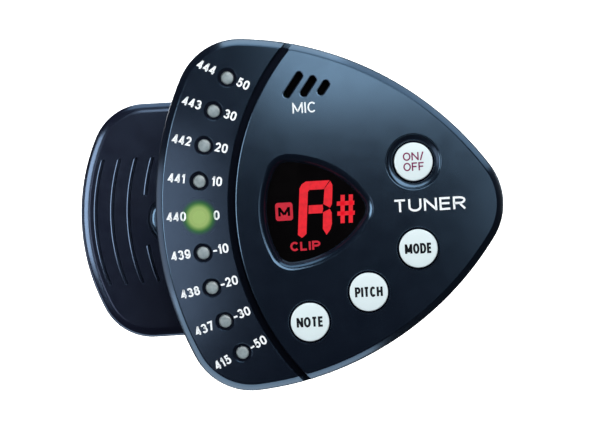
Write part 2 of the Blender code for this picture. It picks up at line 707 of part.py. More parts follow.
def battery():
    cell = turned(
        "coin_cell",
        [
            (0, CELL_T),
            (CELL_R - 1.3 * MM, CELL_T),
            (CELL_R - 1.3 * MM, CELL_T - 0.3 * MM),
            (CELL_R, CELL_T - 0.6 * MM),
            (CELL_R, 0.3 * MM),
            (CELL_R - 0.3 * MM, 0),
            (0, 0),
        ],
        36,
    )
    place(cell, "head", "steel", (DOOR_X, 0, CELL_Z))
    strip, top = 0.3 * MM, BOARD_Z - GAP
    low = CELL_Z + CELL_T + GAP
    spring_line = [(-5 * MM, top), (-5 * MM, top - strip), (-2 * MM, top - strip), (1 * MM, low), (4 * MM, low)]
    spring_back = [(4 * MM, low + strip), (1.2 * MM, low + strip), (-1.8 * MM, top)]
    contact = side_plate("battery_contact_negative", spring_line + spring_back, 4 * MM)
    place(contact, "head", "brass", (DOOR_X, 0, 0))
    side, low = CELL_R + GAP, HEAD_BACK_Z + DOOR_RING_TOP + 0.2 * MM
    foot = [(side, low), (side + strip, low), (side + strip, top - strip)]
    foot += [(side + 3 * MM, top - strip), (side + 3 * MM, top), (side, top)]
    contact = side_plate("battery_contact_positive", foot, 5 * MM)
    place(contact, "head", "brass", (DOOR_X, 0, 0))


def battery_door():
    """A coin-slot door: a flush disc, a ring round the cell, and two tabs behind the case's back wall."""
    add_body("battery_door", "head", (DOOR_X, 0, HEAD_BACK_Z))
    profile = [
        (0, DOOR_T),
        (CELL_R + 0.35 * MM, DOOR_T),
        (CELL_R + 0.35 * MM, DOOR_RING_TOP),
        (DOOR_R, DOOR_RING_TOP),
        (DOOR_R, 0.3 * MM),
        (DOOR_R - 0.3 * MM, 0),
        (0, 0),
    ]
    door = turned("battery_door", profile, 36)
    place(door, "battery_door", "navy_case", (DOOR_X, 0, HEAD_BACK_Z))
    tabs = plate("add_door_tabs", rounded_box(2 * DOOR_TAB_R, 5.6 * MM, 0.8 * MM, 2), 1.0 * MM)
    bore = disc("cut_tabs", CELL_R + 0.6 * MM, 6 * MM, 36)
    cut(tabs, bore, "battery_door", (DOOR_X, 0, HEAD_BACK_Z))
    join(door, tabs, "battery_door", (DOOR_X, 0, HEAD_BACK_Z + BACK_WALL + 0.2 * MM))
    coin = plate("cut_coin_slot", stadium(5.6 * MM, 0.9 * MM, 8), 2 * MM)
    cut(door, coin, "battery_door", (DOOR_X, 0, HEAD_BACK_Z + 0.6 * MM - 2 * MM))


# ---------------------------------------------------------------- tilt and swivel


def swivel():
    add_z = TILT_Z - SWIVEL_BASE_Z
    profile = [
        (0, SWIVEL_BASE_T),
        (SWIVEL_BASE_R - 0.4 * MM, SWIVEL_BASE_T),
        (SWIVEL_BASE_R, SWIVEL_BASE_T - 0.4 * MM),
        (SWIVEL_BASE_R, 0),
        (0, 0),
    ]
    arm = turned("swivel_arm", profile, 28)
    place(arm, "swivel", "navy_clip", (SWIVEL_X, 0, SWIVEL_BASE_Z))
    over = arc((0, 0), KNUCKLE_R, 0, math.pi, 12)
    neck = over + [(-KNUCKLE_R, 1 * MM - add_z), (KNUCKLE_R, 1 * MM - add_z)]
    join(arm, side_plate("add_neck", neck, KNUCKLE_WIDTH), "swivel", (SWIVEL_X, 0, TILT_Z))
    pin_way = rod("cut_arm_pin_way", TILT_PIN_R + CLEARANCE, 20 * MM)
    cut(arm, pin_way, "swivel", (SWIVEL_X, 0, TILT_Z))
    screw_way = disc("cut_arm_screw_way", SWIVEL_SCREW_R + CLEARANCE, 6 * MM, 20)
    cut(arm, screw_way, "swivel", (SWIVEL_X, 0, 9.4 * MM - 6 * MM))
    washer_z = JAW_INNER_Z - GAP - 0.4 * MM
    inner, outer = SWIVEL_SCREW_R + CLEARANCE, 2.9 * MM
    ring = [(inner, 0.4 * MM), (outer, 0.4 * MM), (outer, 0), (inner, 0), (inner, 0.4 * MM)]
    place(turned("swivel_washer", ring, 28), "swivel", "steel", (SWIVEL_X, 0, washer_z))
    head_high, head_low = washer_z - GAP, washer_z - GAP - 1.3 * MM
    profile = [
        (0, 9.2 * MM - head_low),
        (SWIVEL_SCREW_R - 0.3 * MM, 9.2 * MM - head_low),
        (SWIVEL_SCREW_R, 8.9 * MM - head_low),
        (SWIVEL_SCREW_R, head_high - head_low),
        (2.4 * MM, head_high - head_low),
        (2.4 * MM, 0.5 * MM),
        (1.6 * MM, 0),
        (0, 0),
    ]
    screw = turned("swivel_screw", profile, 20)
    place(screw, "swivel", "steel", (SWIVEL_X, 0, head_low))
    for arm_turn in (0, 1):
        slot = plate(f"cut_swivel_cross_{arm_turn}", rounded_box(2.6 * MM, 0.6 * MM, 0.1 * MM, 1), 1.6 * MM)
        slot.rotation_euler.z = arm_turn * math.pi / 2
        cut(screw, slot, "swivel", (SWIVEL_X, 0, head_low - 0.9 * MM))
    length = KNUCKLE_WIDTH + 2 * (EAR_GAP + EAR_WIDTH)
    place(rod("tilt_pin", TILT_PIN_R, length), "head", "steel", (SWIVEL_X, 0, TILT_Z))


# ---------------------------------------------------------------- the clip


def lug_outline(rise):
    """A pin lug in X and Z, round about the pin, whose flanks spread a little as they rise."""
    round_end = arc((0, 0), LUG_R, math.pi, math.tau, 12)
    return round_end + [(LUG_R + 0.8 * MM, rise), (-LUG_R - 0.8 * MM, rise)]


def add_lugs(lever, body, at_y, rise):
    """Two lugs on a lever, and one hole through both."""
    for side, sign in (("upper", 1), ("lower", -1)):
        lug = side_plate(f"add_{lever.name}_{side}_lug", lug_outline(abs(rise)), LUG_T)
        if rise < 0:
            lug.data.transform(Matrix.Rotation(math.pi, 4, "Y"))
        join(lever, lug, body, (CLIP_PIN_X, sign * at_y, CLIP_PIN_Z))
    way = rod(f"cut_{lever.name}_pin_way", CLIP_PIN_R + CLEARANCE, 30 * MM)
    cut(lever, way, body, (CLIP_PIN_X, 0, CLIP_PIN_Z))


def grip_outlines():
    """Bowed grip grooves across the paddle. Those that would meet the swivel are split round it."""
    for i in range(GRIP_COUNT):
        mid_x = GRIP_FIRST_X + i * GRIP_PITCH
        reach = math.asin(GRIP_HALF_LENGTH / GRIP_R)
        clear = math.asin(GRIP_CLEAR / GRIP_R)
        split = i == GRIP_COUNT - 1
        spans = [(-reach, -clear), (clear, reach)] if split else [(-reach, reach)]
        for start, end in spans:
            centre = (mid_x + GRIP_R, 0)
            outer = arc(centre, GRIP_R + GRIP_WIDTH / 2, math.pi + start, math.pi + end, 8)
            inner = arc(centre, GRIP_R - GRIP_WIDTH / 2, math.pi + end, math.pi + start, 8)
            yield outer + inner


def front_jaw():
    lever = plate("front_jaw", lever_outline(), LEVER_T)
    round_rim(lever, LEVER_T, 1.0 * MM, 3)
    place(lever, "clip_front", "navy_clip", (0, 0, JAW_INNER_Z))
    add_lugs(lever, "clip_front", FRONT_LUG_Y, JAW_INNER_Z + 0.5 * MM - CLIP_PIN_Z)
    well = disc("cut_swivel_well", SWIVEL_WELL_R, 3 * MM, 32)
    cut(lever, well, "clip_front", (SWIVEL_X, 0, SWIVEL_BASE_Z - GAP))
    way = disc("cut_swivel_way", SWIVEL_SCREW_R + 0.15 * MM, 10 * MM, 24)
    cut(lever, way, "clip_front", (SWIVEL_X, 0, 0))
    for i, outline in enumerate(grip_outlines(), 1):
        groove = plate(f"cut_front_grip_{i}", outline, 2 * MM)
        cut(lever, groove, "clip_front", (0, 0, JAW_OUTER_Z - GRIP_DEPTH))


def rear_jaw():
    """The rear lever slopes away from the front one, so that the closed jaws come nearest at their tips."""
    slope = math.tan(REAR_SLOPE)
    thick = LEVER_T / math.cos(REAR_SLOPE)
    left, right = PADDLE_LEFT - 2 * MM, JAW_TIP + 2 * MM
    inner = [(x, REAR_TIP_Z - (JAW_TIP - x) * slope) for x in (right, left)]
    outer = [(x, z - thick) for x, z in reversed(inner)]
    lever = side_plate("rear_jaw", inner + outer, 2 * PADDLE_HALF + 2 * MM)
    place(lever, "clip_rear", "navy_clip")
    keep_common(lever, plate("keep_rear_outline", lever_outline(), 40 * MM), "clip_rear", (0, 0, -30 * MM))
    under_pin = CLIP_PIN_Z - (REAR_TIP_Z - (JAW_TIP - CLIP_PIN_X) * slope)
    add_lugs(lever, "clip_rear", REAR_LUG_Y, -(under_pin + 1.0 * MM))
    for i, outline in enumerate(grip_outlines(), 1):
        groove = plate(f"cut_rear_grip_{i}", outline, 2 * MM)
        tilt = Matrix.Rotation(-REAR_SLOPE, 4, "Y")
        groove.data.transform(tilt @ Matrix.Translation((0, 0, -LEVER_T - 2 * MM + GRIP_DEPTH)))
        cut(lever, groove, "clip_rear", (0, 0, REAR_TIP_Z - JAW_TIP * slope))


def pads():
    front = plate("front_pad", rounded_box(PAD_LENGTH, PAD_WIDTH, 2 * MM), PAD_T)
    place(front, "clip_front", "rubber")
    rear = plate("rear_pad", rounded_box(PAD_LENGTH, PAD_WIDTH, 2 * MM), PAD_T)
    rear.data.transform(Matrix.Rotation(-REAR_SLOPE, 4, "Y"))
    mid_z = REAR_TIP_Z - JAW_TIP * math.tan(REAR_SLOPE)
    place(rear, "clip_rear", "rubber", (0, 0, mid_z + GAP))


def clip_pin():
    half = FRONT_LUG_Y + LUG_T / 2
    pin = turned(
        "hinge_pin",
        [
            (0, half + 1.6 * MM),
            (CLIP_PIN_R - 0.25 * MM, half + 1.6 * MM),
            (CLIP_PIN_R, half + 1.3 * MM),
            (CLIP_PIN_R, -half - GAP),
            (2.1 * MM, -half - GAP),
            (2.1 * MM, -half - 0.75 * MM),
            (1.7 * MM, -half - 0.95 * MM),
            (0, -half - 0.95 * MM),
        ],
        24,
    )
    pin.rotation_euler.x = -math.pi / 2
    place(pin, "clip_front", "steel", (CLIP_PIN_X, 0, CLIP_PIN_Z))
    inner, outer, thick = CLIP_PIN_R + 0.05 * MM, 2.2 * MM, 0.6 * MM
    ring = [(inner, thick), (outer, thick), (outer, 0), (inner, 0), (inner, thick)]
    retainer = turned("pin_retainer", ring, 24)
    retainer.rotation_euler.x = -math.pi / 2
    place(retainer, "clip_front", "steel", (CLIP_PIN_X, half + GAP, CLIP_PIN_Z))


def clip_spring():
    """A torsion spring round the pin. Its first leg lies on the front lever, its last on the rear one."""
    half = SPRING_TURNS * SPRING_PITCH / 2
    start = math.radians(90)
    sweep = SPRING_TURNS * math.tau + math.pi + REAR_SLOPE
    steps = SPRING_TURNS * 12
    coil = []
    for i in range(steps + 1):
        angle = start - sweep * i / steps
        y = -half + 2 * half * i / steps
        coil.append((CLIP_PIN_X + SPRING_R * math.cos(angle), y, CLIP_PIN_Z + SPRING_R * math.sin(angle)))
    front_leg = [(coil[0][0] - SPRING_LEG, coil[0][1], JAW_INNER_Z - SPRING_WIRE_R - 0.2 * MM)]
    front_leg.append((coil[0][0] - 4 * MM, coil[0][1], JAW_INNER_Z - SPRING_WIRE_R - 0.2 * MM))
    inner_z = REAR_TIP_Z - (JAW_TIP - CLIP_PIN_X + SPRING_LEG) * math.tan(REAR_SLOPE)
    rise = SPRING_WIRE_R + 0.3 * MM
    near_z = REAR_TIP_Z - (JAW_TIP - CLIP_PIN_X + 4 * MM) * math.tan(REAR_SLOPE) + rise
    rear_leg = [(CLIP_PIN_X - 4 * MM, coil[-1][1], near_z)]
    rear_leg.append((CLIP_PIN_X - SPRING_LEG, coil[-1][1], inner_z + rise))
    wire("clip_spring", front_leg + coil + rear_leg, SPRING_WIRE_R, "clip_front", "steel")


# ---------------------------------------------------------------- assembly

clear_scene()
tuner = new_collection("clip_on_tuner")
cutters = new_collection("cutters")
add_body("tuner", None)
bodies["tuner"].rotation_euler.x = math.pi / 2
add_body("clip_front", "tuner")
add_body("clip_rear", "clip_front", (CLIP_PIN_X, 0, CLIP_PIN_Z))
add_body("swivel", "clip_front", (SWIVEL_X, 0, SWIVEL_BASE_Z))
add_body("head", "swivel", (SWIVEL_X, 0, TILT_Z))

front_cover()
meter_cover()
rear_cover()
case_screws()
display()
circuit_board()
meter_lamps()
buttons()
microphone()
piezo_sensor()
battery()
battery_door()
swivel()
front_jaw()
rear_jaw()
pads()
clip_pin()
clip_spring()
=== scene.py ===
import json
from math import asin, atan2, copysign, cos, hypot, pi, radians, sin, sqrt, tan, tau

import bmesh
import bpy
from mathutils import Matrix, Vector


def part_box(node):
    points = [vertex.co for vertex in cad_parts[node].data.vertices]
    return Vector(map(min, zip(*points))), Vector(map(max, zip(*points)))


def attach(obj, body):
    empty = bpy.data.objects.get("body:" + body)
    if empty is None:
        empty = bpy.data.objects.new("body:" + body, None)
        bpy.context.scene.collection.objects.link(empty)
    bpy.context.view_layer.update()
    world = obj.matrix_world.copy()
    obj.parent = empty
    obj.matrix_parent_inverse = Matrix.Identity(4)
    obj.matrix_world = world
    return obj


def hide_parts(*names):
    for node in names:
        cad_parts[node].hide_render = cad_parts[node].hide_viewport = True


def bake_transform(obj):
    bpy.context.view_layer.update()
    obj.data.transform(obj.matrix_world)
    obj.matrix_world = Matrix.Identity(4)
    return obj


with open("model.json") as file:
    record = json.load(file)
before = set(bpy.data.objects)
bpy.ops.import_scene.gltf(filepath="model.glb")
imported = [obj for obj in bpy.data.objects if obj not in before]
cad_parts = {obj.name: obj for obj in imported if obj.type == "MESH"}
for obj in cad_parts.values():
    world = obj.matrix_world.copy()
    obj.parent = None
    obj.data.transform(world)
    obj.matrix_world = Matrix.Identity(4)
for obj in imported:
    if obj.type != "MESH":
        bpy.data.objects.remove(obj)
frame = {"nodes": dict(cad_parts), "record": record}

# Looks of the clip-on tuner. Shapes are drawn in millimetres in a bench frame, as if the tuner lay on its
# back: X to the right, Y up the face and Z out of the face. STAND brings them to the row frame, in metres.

MM = 0.001
STAND = Matrix.Scale(MM, 4) @ Matrix.Rotation(pi / 2, 4, "X")
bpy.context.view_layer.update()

# The pick: a triangle of corner centres, with arcs for its corners and its long sides.
PICK_SPACING = 38.9
PICK_CORNER_R = 10.97
PICK_SIDE_R = 55.97
PICK_SIDE_AT = (sqrt((PICK_SIDE_R - PICK_CORNER_R) ** 2 - (PICK_SPACING / 2) ** 2)
                - PICK_SPACING / sqrt(12))
CROWN_R = 350
CROWN_FROM_Z = 21.0
CROWN_FULL_Z = 23.5
STRIP_SLOPE = 0.07
FACE_GRID = 1.5
FACE_GRID_REACH = 32
# Steps of (inset, height) round the rim's chamfer, as shares of its width.
RIM_EDGE = ((0, -1.22), (0.02, -1.06), (0.09, -0.92), (0.88, -0.11), (0.98, -0.03), (1.08, 0), (1.18, 0))
RIM_WIDTH = 1.2
SIDE_WALL = 1.6
BACK_ROUND = 2.2
BACK_WALL = 2.0

# The meter's groove, ledge and lamps.
GROOVE_R = 42.8
GROOVE_WIDTH = 1.2
# Steps of (radius, height over the face) up the groove's edge.
GROOVE_EDGE = ((0, -0.26), (-0.03, -0.14), (-0.10, -0.05), (-0.20, -0.01), (-0.32, 0.02), (-0.32, 1))
LEDGE_T = 1.2
LAMPS = [f"meter_lamp_{i}" for i in range(1, 10)]
LIT_LAMP = "meter_lamp_5"
LAMP_HOLE_R = 1.56
LAMP_R = 1.15
GLOW_R = 3.5

# Each lamp has a number on each side, on a line that turns a little less than the lamps' own arc.
PITCH_NUMBERS = ("444", "443", "442", "441", "440", "439", "438", "437", "415")
CENT_NUMBERS = ("50", "30", "20", "10", "0", "-10", "-20", "-30", "-50")
PITCH_NUMBERS_AT = -3.9
CENT_NUMBERS_AT = 3.05
NUMBERS_FAN = 0.918
NUMBERS_LEAN = radians(-1.05)
NUMBERS_RISE = 0.22
NUMBER_HEIGHT = 1.62

# The display window, and steps of (growth of the outline, height over the face) up its rounded recess.
WINDOW_SPACING = 12.0
WINDOW_CORNER_R = 2.6
WINDOW_SIDE_R = 16.0
WINDOW_EDGE = ((0, -3), (0, -1.15), (0.24, -0.80), (0.50, -0.50), (0.74, -0.29), (0.96, -0.15),
               (1.17, -0.06), (1.4, 0.0), (1.64, 0.06))
WINDOW_LAP = 0.9

# Keys, and steps of (radius, depth) down the dish round the ON/OFF key.
KEYS = ("on_off", "mode", "pitch", "note")
KEY_R = 3.3
KEY_HOLE_R = 3.68
KEY_FLANGE_R = 4.1
DISH_DEPTH = 1.0
DISH_EDGE = ((4.9, -1), (4.9, 0), (4.8, 0.02), (4.72, 0.08), (4.65, 0.22), (4.6, 0.44), (4.46, 0.52),
             (4.3, 0.56), (3.98, 0.65), (3.86, 0.70), (3.77, 0.82), (3.74, DISH_DEPTH))

# The microphone's slots, and steps of (growth, height over the face) up their edge.
SLOT_R = 0.57
SLOT_TILT = radians(53.8)
SLOT_PITCH = Vector((2.6, -0.39, 0))
SLOT_HALF_LENGTHS = (1.96, 1.42, 0.82)
SLOT_EDGE = ((0, -4), (0, -0.14), (0.05, -0.04), (0.41, 0.05))

# The back: door, screws and hinge ears.
DOOR_HOLE_R = 11.95
DOOR_R = 11.7
DOOR_RING_R = 10.35
DOOR_TAB_R = 13.1
DOOR_TURN = radians(60)
# Steps of (inset, height) over the door's outer face, from its edge to its ring groove.
DOOR_FACE = ((0, 0.3), (0.09, 0.09), (0.3, 0), (1.5, 0), (1.65, 0.18), (1.95, 0.18), (2.1, 0))
KNUCKLE_R = 2.7
EAR_WIDTH = 2.2
HINGE_BORE_R = 1.1
BOSS_R = 4.5
BOSS_T = 1.9
NECK_WIDTH = 5.2
SCREW_WAY_R = 1.35
SCREW_WAY_TOP = 9.4

# The clip's levers.
PADDLE_LEFT = -40.65
PADDLE_HALF = 20.8
PADDLE_END_R = 36.0
PADDLE_CORNER_R = 9.5
JAW_HALF = 12.5
JAW_TIP = 13.5
JAW_CORNER_R = 5.0
LEVER_T = 3.0
# Steps of (depth from the face, inset from the outline).
LEVER_INNER_EDGE = ((0, 0.6), (0.04, 0.37), (0.18, 0.18), (0.37, 0.04), (0.6, 0))
LEVER_OUTER_EDGE = ((1.09, 0), (0.85, 0.07), (0.64, 0.2), (0.47, 0.38), (0.3, 0.68), (0.13, 1.1),
                    (0.04, 1.44), (0, 1.74))
REAR_SLOPE = radians(10)
REAR_TIP_Z = -4.8
LUG_R = 2.6
LUG_T = 2.0
LUG_SPREAD = 0.8
FRONT_LUG_Y = 9.2
REAR_LUG_Y = 6.9
CLIP_BORE_R = 1.35
PAD_T = 2.5

# The paddle's grip lines: a thin lip beside a narrow slot, each a section of (height, left edge, right edge).
GRIP_COUNT = 4
GRIP_FIRST_X = -37.85
GRIP_PITCH = 2.92
GRIP_R = 34.0
GRIP_HALF_LENGTH = 11.0
GRIP_LIP = ((-0.3, -0.52, -0.25), (0, -0.52, -0.25), (0.06, -0.39, -0.3))
GRIP_SLOT = ((-0.5, -0.22, -0.02), (-0.2, -0.26, 0.09), (0, -0.28, 0.18), (0.15, -0.3, 0.24))
GRIP_CLEAR = 4.6

SPRING_WIRE_R = 0.4
SPRING_R = 2.3
SPRING_TURNS = 7
SPRING_PITCH = 0.95
SPRING_LEG = 13.0

GAP = 0.15
OVERCUT = 1.0
INK_LIFT = 0.015
ROUND = 72

# Camera, in metres.
AIM = Vector((-0.00266, -0.027, -0.00089))
CAMERA_BACK = 0.6
VIEW_WIDTH = 0.10127
SENSOR = 36.0
CAMERA_ROLL = radians(3.2)


# ---- places, read from the CAD


def bench_box(node):
    low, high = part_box(node)
    return Vector((low.x, low.z, -high.y)) / MM, Vector((high.x, high.z, -low.y)) / MM


def bottom_of(node):
    return bench_box(node)[0].z


def top_of(node):
    return bench_box(node)[1].z


def bench_middle(node):
    low, high = bench_box(node)
    return (low + high) / 2


def crown_drop(x, y):
    """How far the face lies below its highest point: a dome, and left of the groove a slope as well."""
    left_of_groove = hypot(x - PICK_SIDE_AT, y) - GROOVE_R
    return (x * x + y * y) / (2 * CROWN_R) + STRIP_SLOPE * max(left_of_groove, 0)


def crowned_top(node, at):
    """The height of a node's top at a place, once the face is crowned."""
    return top_of(node) - crown_drop(at.x, at.y)


def on_face(x, y, z, turn=0.0):
    """A place on the face, tilted with it."""
    step = 0.05
    here = crown_drop(x, y)
    normal = Vector(((crown_drop(x + step, y) - here) / step, (crown_drop(x, y + step) - here) / step, 1))
    tilt = Vector((0, 0, 1)).rotation_difference(normal).to_matrix().to_4x4()
    return Matrix.Translation((x, y, z - here)) @ tilt @ Matrix.Rotation(turn, 4, "Z")


# ---- outlines


def polar(radius, angle):
    return radius * cos(angle), radius * sin(angle)


def arc(centre, radius, start, end, steps):
    angles = [start + (end - start) * i / steps for i in range(steps + 1)]
    return [(centre[0] + radius * cos(a), centre[1] + radius * sin(a)) for a in angles]


def circle(centre, radius, steps):
    return arc(centre, radius, 0, tau, steps)[:-1]


def rounded_triangle(spacing, corner_r, side_r, grow, corner_steps, side_steps):
    """A triangle with round corners and bowed sides, its tip along +X. Growing it keeps the arcs' centres."""
    corner_at = spacing / sqrt(3)
    side_at = sqrt((side_r - corner_r) ** 2 - (spacing / 2) ** 2) - corner_at / 2
    half_side = asin(spacing / 2 / (side_r - corner_r))
    half_corner = pi / 3 - half_side
    points = []
    for third in range(3):
        facing = third * tau / 3
        middle = facing + pi / 3
        corner = (corner_at * cos(facing), corner_at * sin(facing))
        side = (-side_at * cos(middle), -side_at * sin(middle))
        points += arc(corner, corner_r + grow, facing - half_corner, facing + half_corner, corner_steps)[:-1]
        points += arc(side, side_r + grow, middle - half_side, middle + half_side, side_steps)[:-1]
    return points


def pick(grow=0.0):
    return rounded_triangle(PICK_SPACING, PICK_CORNER_R, PICK_SIDE_R, grow, 24, 32)


def window(grow):
    return rounded_triangle(WINDOW_SPACING, WINDOW_CORNER_R, WINDOW_SIDE_R, grow, 16, 16)


def stadium(half_length, radius):
    right = arc((half_length, 0), radius, -pi / 2, pi / 2, 14)
    return right + arc((-half_length, 0), radius, pi / 2, 1.5 * pi, 14)


def rounded_box(length, width, radius, steps=8):
    points = []
    for quarter, (sx, sy) in enumerate(((1, 1), (-1, 1), (-1, -1), (1, -1))):
        centre = (sx * (length / 2 - radius), sy * (width / 2 - radius))
        points += arc(centre, radius, quarter * pi / 2, (quarter + 1) * pi / 2, steps)
    return points


def bowed_slot(mid_x, start, end, half_width):
    """A slot along an arc, with round ends. Its angles are measured from the arc's middle."""
    centre = (mid_x + GRIP_R, 0)
    outer = arc(centre, GRIP_R + half_width, pi + start, pi + end, 24)
    inner = arc(centre, GRIP_R - half_width, pi + end, pi + start, 24)
    ends = []
    for angle, first in ((end, 0), (start, pi)):
        at = pi + angle
        middle = (centre[0] + GRIP_R * cos(at), GRIP_R * sin(at))
        ends.append(arc(middle, half_width, at + first, at + first + pi, 8)[1:-1])
    return outer + ends[0] + inner + ends[1]


def lever_outline(stretch, grow):
    """The clip lever seen from the front: a wide bowed paddle on the left, a narrower jaw on the right."""
    end_centre = (PADDLE_LEFT + PADDLE_END_R, 0)
    corner_y = PADDLE_HALF - PADDLE_CORNER_R
    reach = sqrt((PADDLE_END_R - PADDLE_CORNER_R) ** 2 - corner_y**2)
    meet = atan2(corner_y, -reach)
    shoulder_r, neck_r = 5.0, 3.3
    shoulder = (-21.0, PADDLE_HALF - shoulder_r)
    neck = (shoulder[0] + shoulder_r + neck_r, JAW_HALF + neck_r)
    upper = arc((JAW_TIP - JAW_CORNER_R, JAW_HALF - JAW_CORNER_R), JAW_CORNER_R + grow, 0, pi / 2, 16)
    upper += arc(neck, neck_r - grow, 1.5 * pi, pi, 14)
    upper += arc(shoulder, shoulder_r + grow, 0, pi / 2, 16)
    upper += arc((end_centre[0] - reach, corner_y), PADDLE_CORNER_R + grow, pi / 2, meet, 20)
    upper += arc(end_centre, PADDLE_END_R + grow, meet, pi, 20)[1:]
    lower = [(x, -y) for x, y in reversed(upper[:-1])]
    return [(x * stretch, y) for x, y in upper + lower]


# ---- solids


def new_object(name, data):
    obj = bpy.data.objects.new(name, data)
    bpy.context.scene.collection.objects.link(obj)
    return obj


def mesh_from(name, bm):
    mesh = bpy.data.meshes.new(name)
    bm.to_mesh(mesh)
    bm.free()
    return mesh


def solid(name, bm):
    bmesh.ops.remove_doubles(bm, verts=bm.verts, dist=1e-4)
    bmesh.ops.recalc_face_normals(bm, faces=bm.faces)
    return new_object(name, mesh_from(name, bm))


def skin(name, rings, capped=False):
    """A surface through rings of as many points each, and a face on both ends if it is capped."""
    bm = bmesh.new()
    rings = [[bm.verts.new(point) for point in ring] for ring in rings]
    for one, two in zip(rings, rings[1:]):
        for i, vert in enumerate(one):
            after = (i + 1) % len(one)
            bm.faces.new((vert, one[after], two[after], two[i]))
    if capped:
        bm.faces.new(rings[0])
        bm.faces.new(rings[-1])
    return solid(name, bm)


def loft(name, levels):
    """A solid through outlines of as many points each. The levels are (outline, height), lowest first."""
    return skin(name, [[(x, y, height) for x, y in outline] for outline, height in levels], True)


def plate(name, outline, low, high):
    return loft(name, [(outline, low), (outline, high)])


def side_plate(name, outline, middle, width):
    """A plate drawn in X and Z, with its width along Y, centred on a point."""
    obj = plate(name, outline, 0, width)
    turn = Matrix.Translation((0, width / 2, 0)) @ Matrix.Rotation(pi / 2, 4, "X")
    obj.data.transform(Matrix.Translation(middle) @ turn)
    return obj


def lathe(name, profile, at=(0, 0), steps=ROUND, along_y=False):
    """A turned piece. The profile is (radius, height); one that ends where it starts makes a ring."""
    rings = [[(x, y, height) for x, y in circle((0, 0), radius, steps)] for radius, height in profile]
    obj = skin(name, rings)
    if along_y:
        obj.data.transform(Matrix.Translation((at[0], 0, at[2])) @ Matrix.Rotation(-pi / 2, 4, "X"))
    else:
        obj.data.transform(Matrix.Translation((at[0], at[1], 0)))
    return obj


def spindle(high, tip, low, foot):
    """A turned profile from its two ends, each a list of (radius, height over that end)."""
    return [(radius, high + rise) for radius, rise in tip] + [(radius, low + rise) for radius, rise in foot]


def bore(radius, half, at, steps):
    """A cutter for a pin's way, along Y."""
    return lathe("bore", spindle(half, ((0, 0), (radius, 0)), -half, ((radius, 0), (0, 0))), at, steps, True)


def disc(name, radius, low, high, at, steps=ROUND):
    return plate(name, circle(at, radius, steps), low, high)


def moved(obj, at, turn=0.0):
    obj.data.transform(Matrix.Translation((at[0], at[1], 0)) @ Matrix.Rotation(turn, 4, "Z"))
    return obj


def combine(obj, tools, operation="DIFFERENCE"):
    """Cuts the tools from obj, joins them or keeps the common part, and removes them."""
    for tool in tools:
        modifier = obj.modifiers.new("combine", "BOOLEAN")
        modifier.object = tool
        modifier.operation = operation
        modifier.solver = "EXACT"
    return apply_modifiers(obj, tools)


def apply_modifiers(obj, leftovers=()):
    graph = bpy.context.evaluated_depsgraph_get()
    mesh = bpy.data.meshes.new_from_object(obj.evaluated_get(graph))
    obj.modifiers.clear()
    obj.data = mesh
    for tool in leftovers:
        bpy.data.objects.remove(tool, do_unlink=True)
    return obj


def round_edges(obj, width, segments):
    bevel = obj.modifiers.new("round", "BEVEL")
    bevel.width = width
    bevel.segments = segments
    bevel.limit_method = "ANGLE"
    bevel.angle_limit = radians(40)
    return apply_modifiers(obj)


def faces_at(bm, height):
    return [f for f in bm.faces if all(abs(v.co.z - height) < 1e-3 for v in f.verts)]


def grid_face(bm, height):
    """Divides the flat face at one height into a fine grid, so that it can be crowned."""
    count = int(FACE_GRID_REACH / FACE_GRID)
    for normal in (Vector((1, 0, 0)), Vector((0, 1, 0))):
        for i in range(-count, count + 1):
            faces = faces_at(bm, height)
            edges = list({e for f in faces for e in f.edges})
            verts = list({v for f in faces for v in f.verts})
            point = normal * (i * FACE_GRID + 0.11)
            bmesh.ops.bisect_plane(bm, geom=verts + edges + faces, plane_co=point, plane_no=normal, dist=1e-4)


def crown(obj, face):
    """Bends a case piece's flat face into a shallow dome, fading to none lower down, with its own shading."""
    bm = bmesh.new()
    bm.from_mesh(obj.data)
    grid_face(bm, face)
    bm.to_mesh(obj.data)
    bm.free()
    obj.data.shade_smooth()
    obj.data.set_sharp_from_angle(angle=radians(30))
    bm = bmesh.new()
    bm.from_mesh(obj.data)
    flat = set(faces_at(bm, face))
    for edge in {e for f in flat for e in f.edges}:
        if not flat.issuperset(edge.link_faces):
            edge.smooth = False
    bm.to_mesh(obj.data)
    bm.free()
    for vert in obj.data.vertices:
        t = min(max((vert.co.z - CROWN_FROM_Z) / (CROWN_FULL_Z - CROWN_FROM_Z), 0), 1)
        vert.co.z -= crown_drop(vert.co.x, vert.co.y) * t * t * (3 - 2 * t)


def dress(obj, material, sharp):
    """Stands a finished shape up in the row frame and gives it its material and shading."""
    obj.data.transform(STAND)
    obj.data.materials.clear()
    obj.data.materials.append(material)
    if sharp:
        obj.data.shade_smooth()
        obj.data.set_sharp_from_angle(angle=radians(sharp))


def finish(obj, body, material, slot, replaces=(), sharp=35, level=False):
    """Dresses a finished shape and lets it ride on its body.

    A level shape's large flats keep their own shading, so only its rounded edges turn it.
    """
    dress(obj, material, sharp)
    if level:
        obj.modifiers.new("level", "WEIGHTED_NORMAL").keep_sharp = True
        apply_modifiers(obj)
    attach(obj, body)
    if replaces:
        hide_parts(*replaces)


# ---- materials


WHITE = (1.0, 1.0, 1.0)
NAVY_SHEEN = (0.40, 0.68, 1.0)
CLIP_SHEEN = (0.45, 0.66, 1.0)
DEEP_SHADE = (0.07, 0.10, 0.20)
CLOTH_SHADE = (0.02, 0.02, 0.02)
WORN_NAVY = (0.02, 0.03, 0.05)


def feed(node, inputs):
    """Sets a node's inputs, each from a value, a colour or another node's output."""
    for name, source in inputs.items():
        socket = node.inputs[name]
        if isinstance(source, bpy.types.NodeSocket):
            node.id_data.links.new(source, socket)
        elif socket.type == "RGBA":
            socket.default_value = (*source, 1)
        else:
            socket.default_value = source


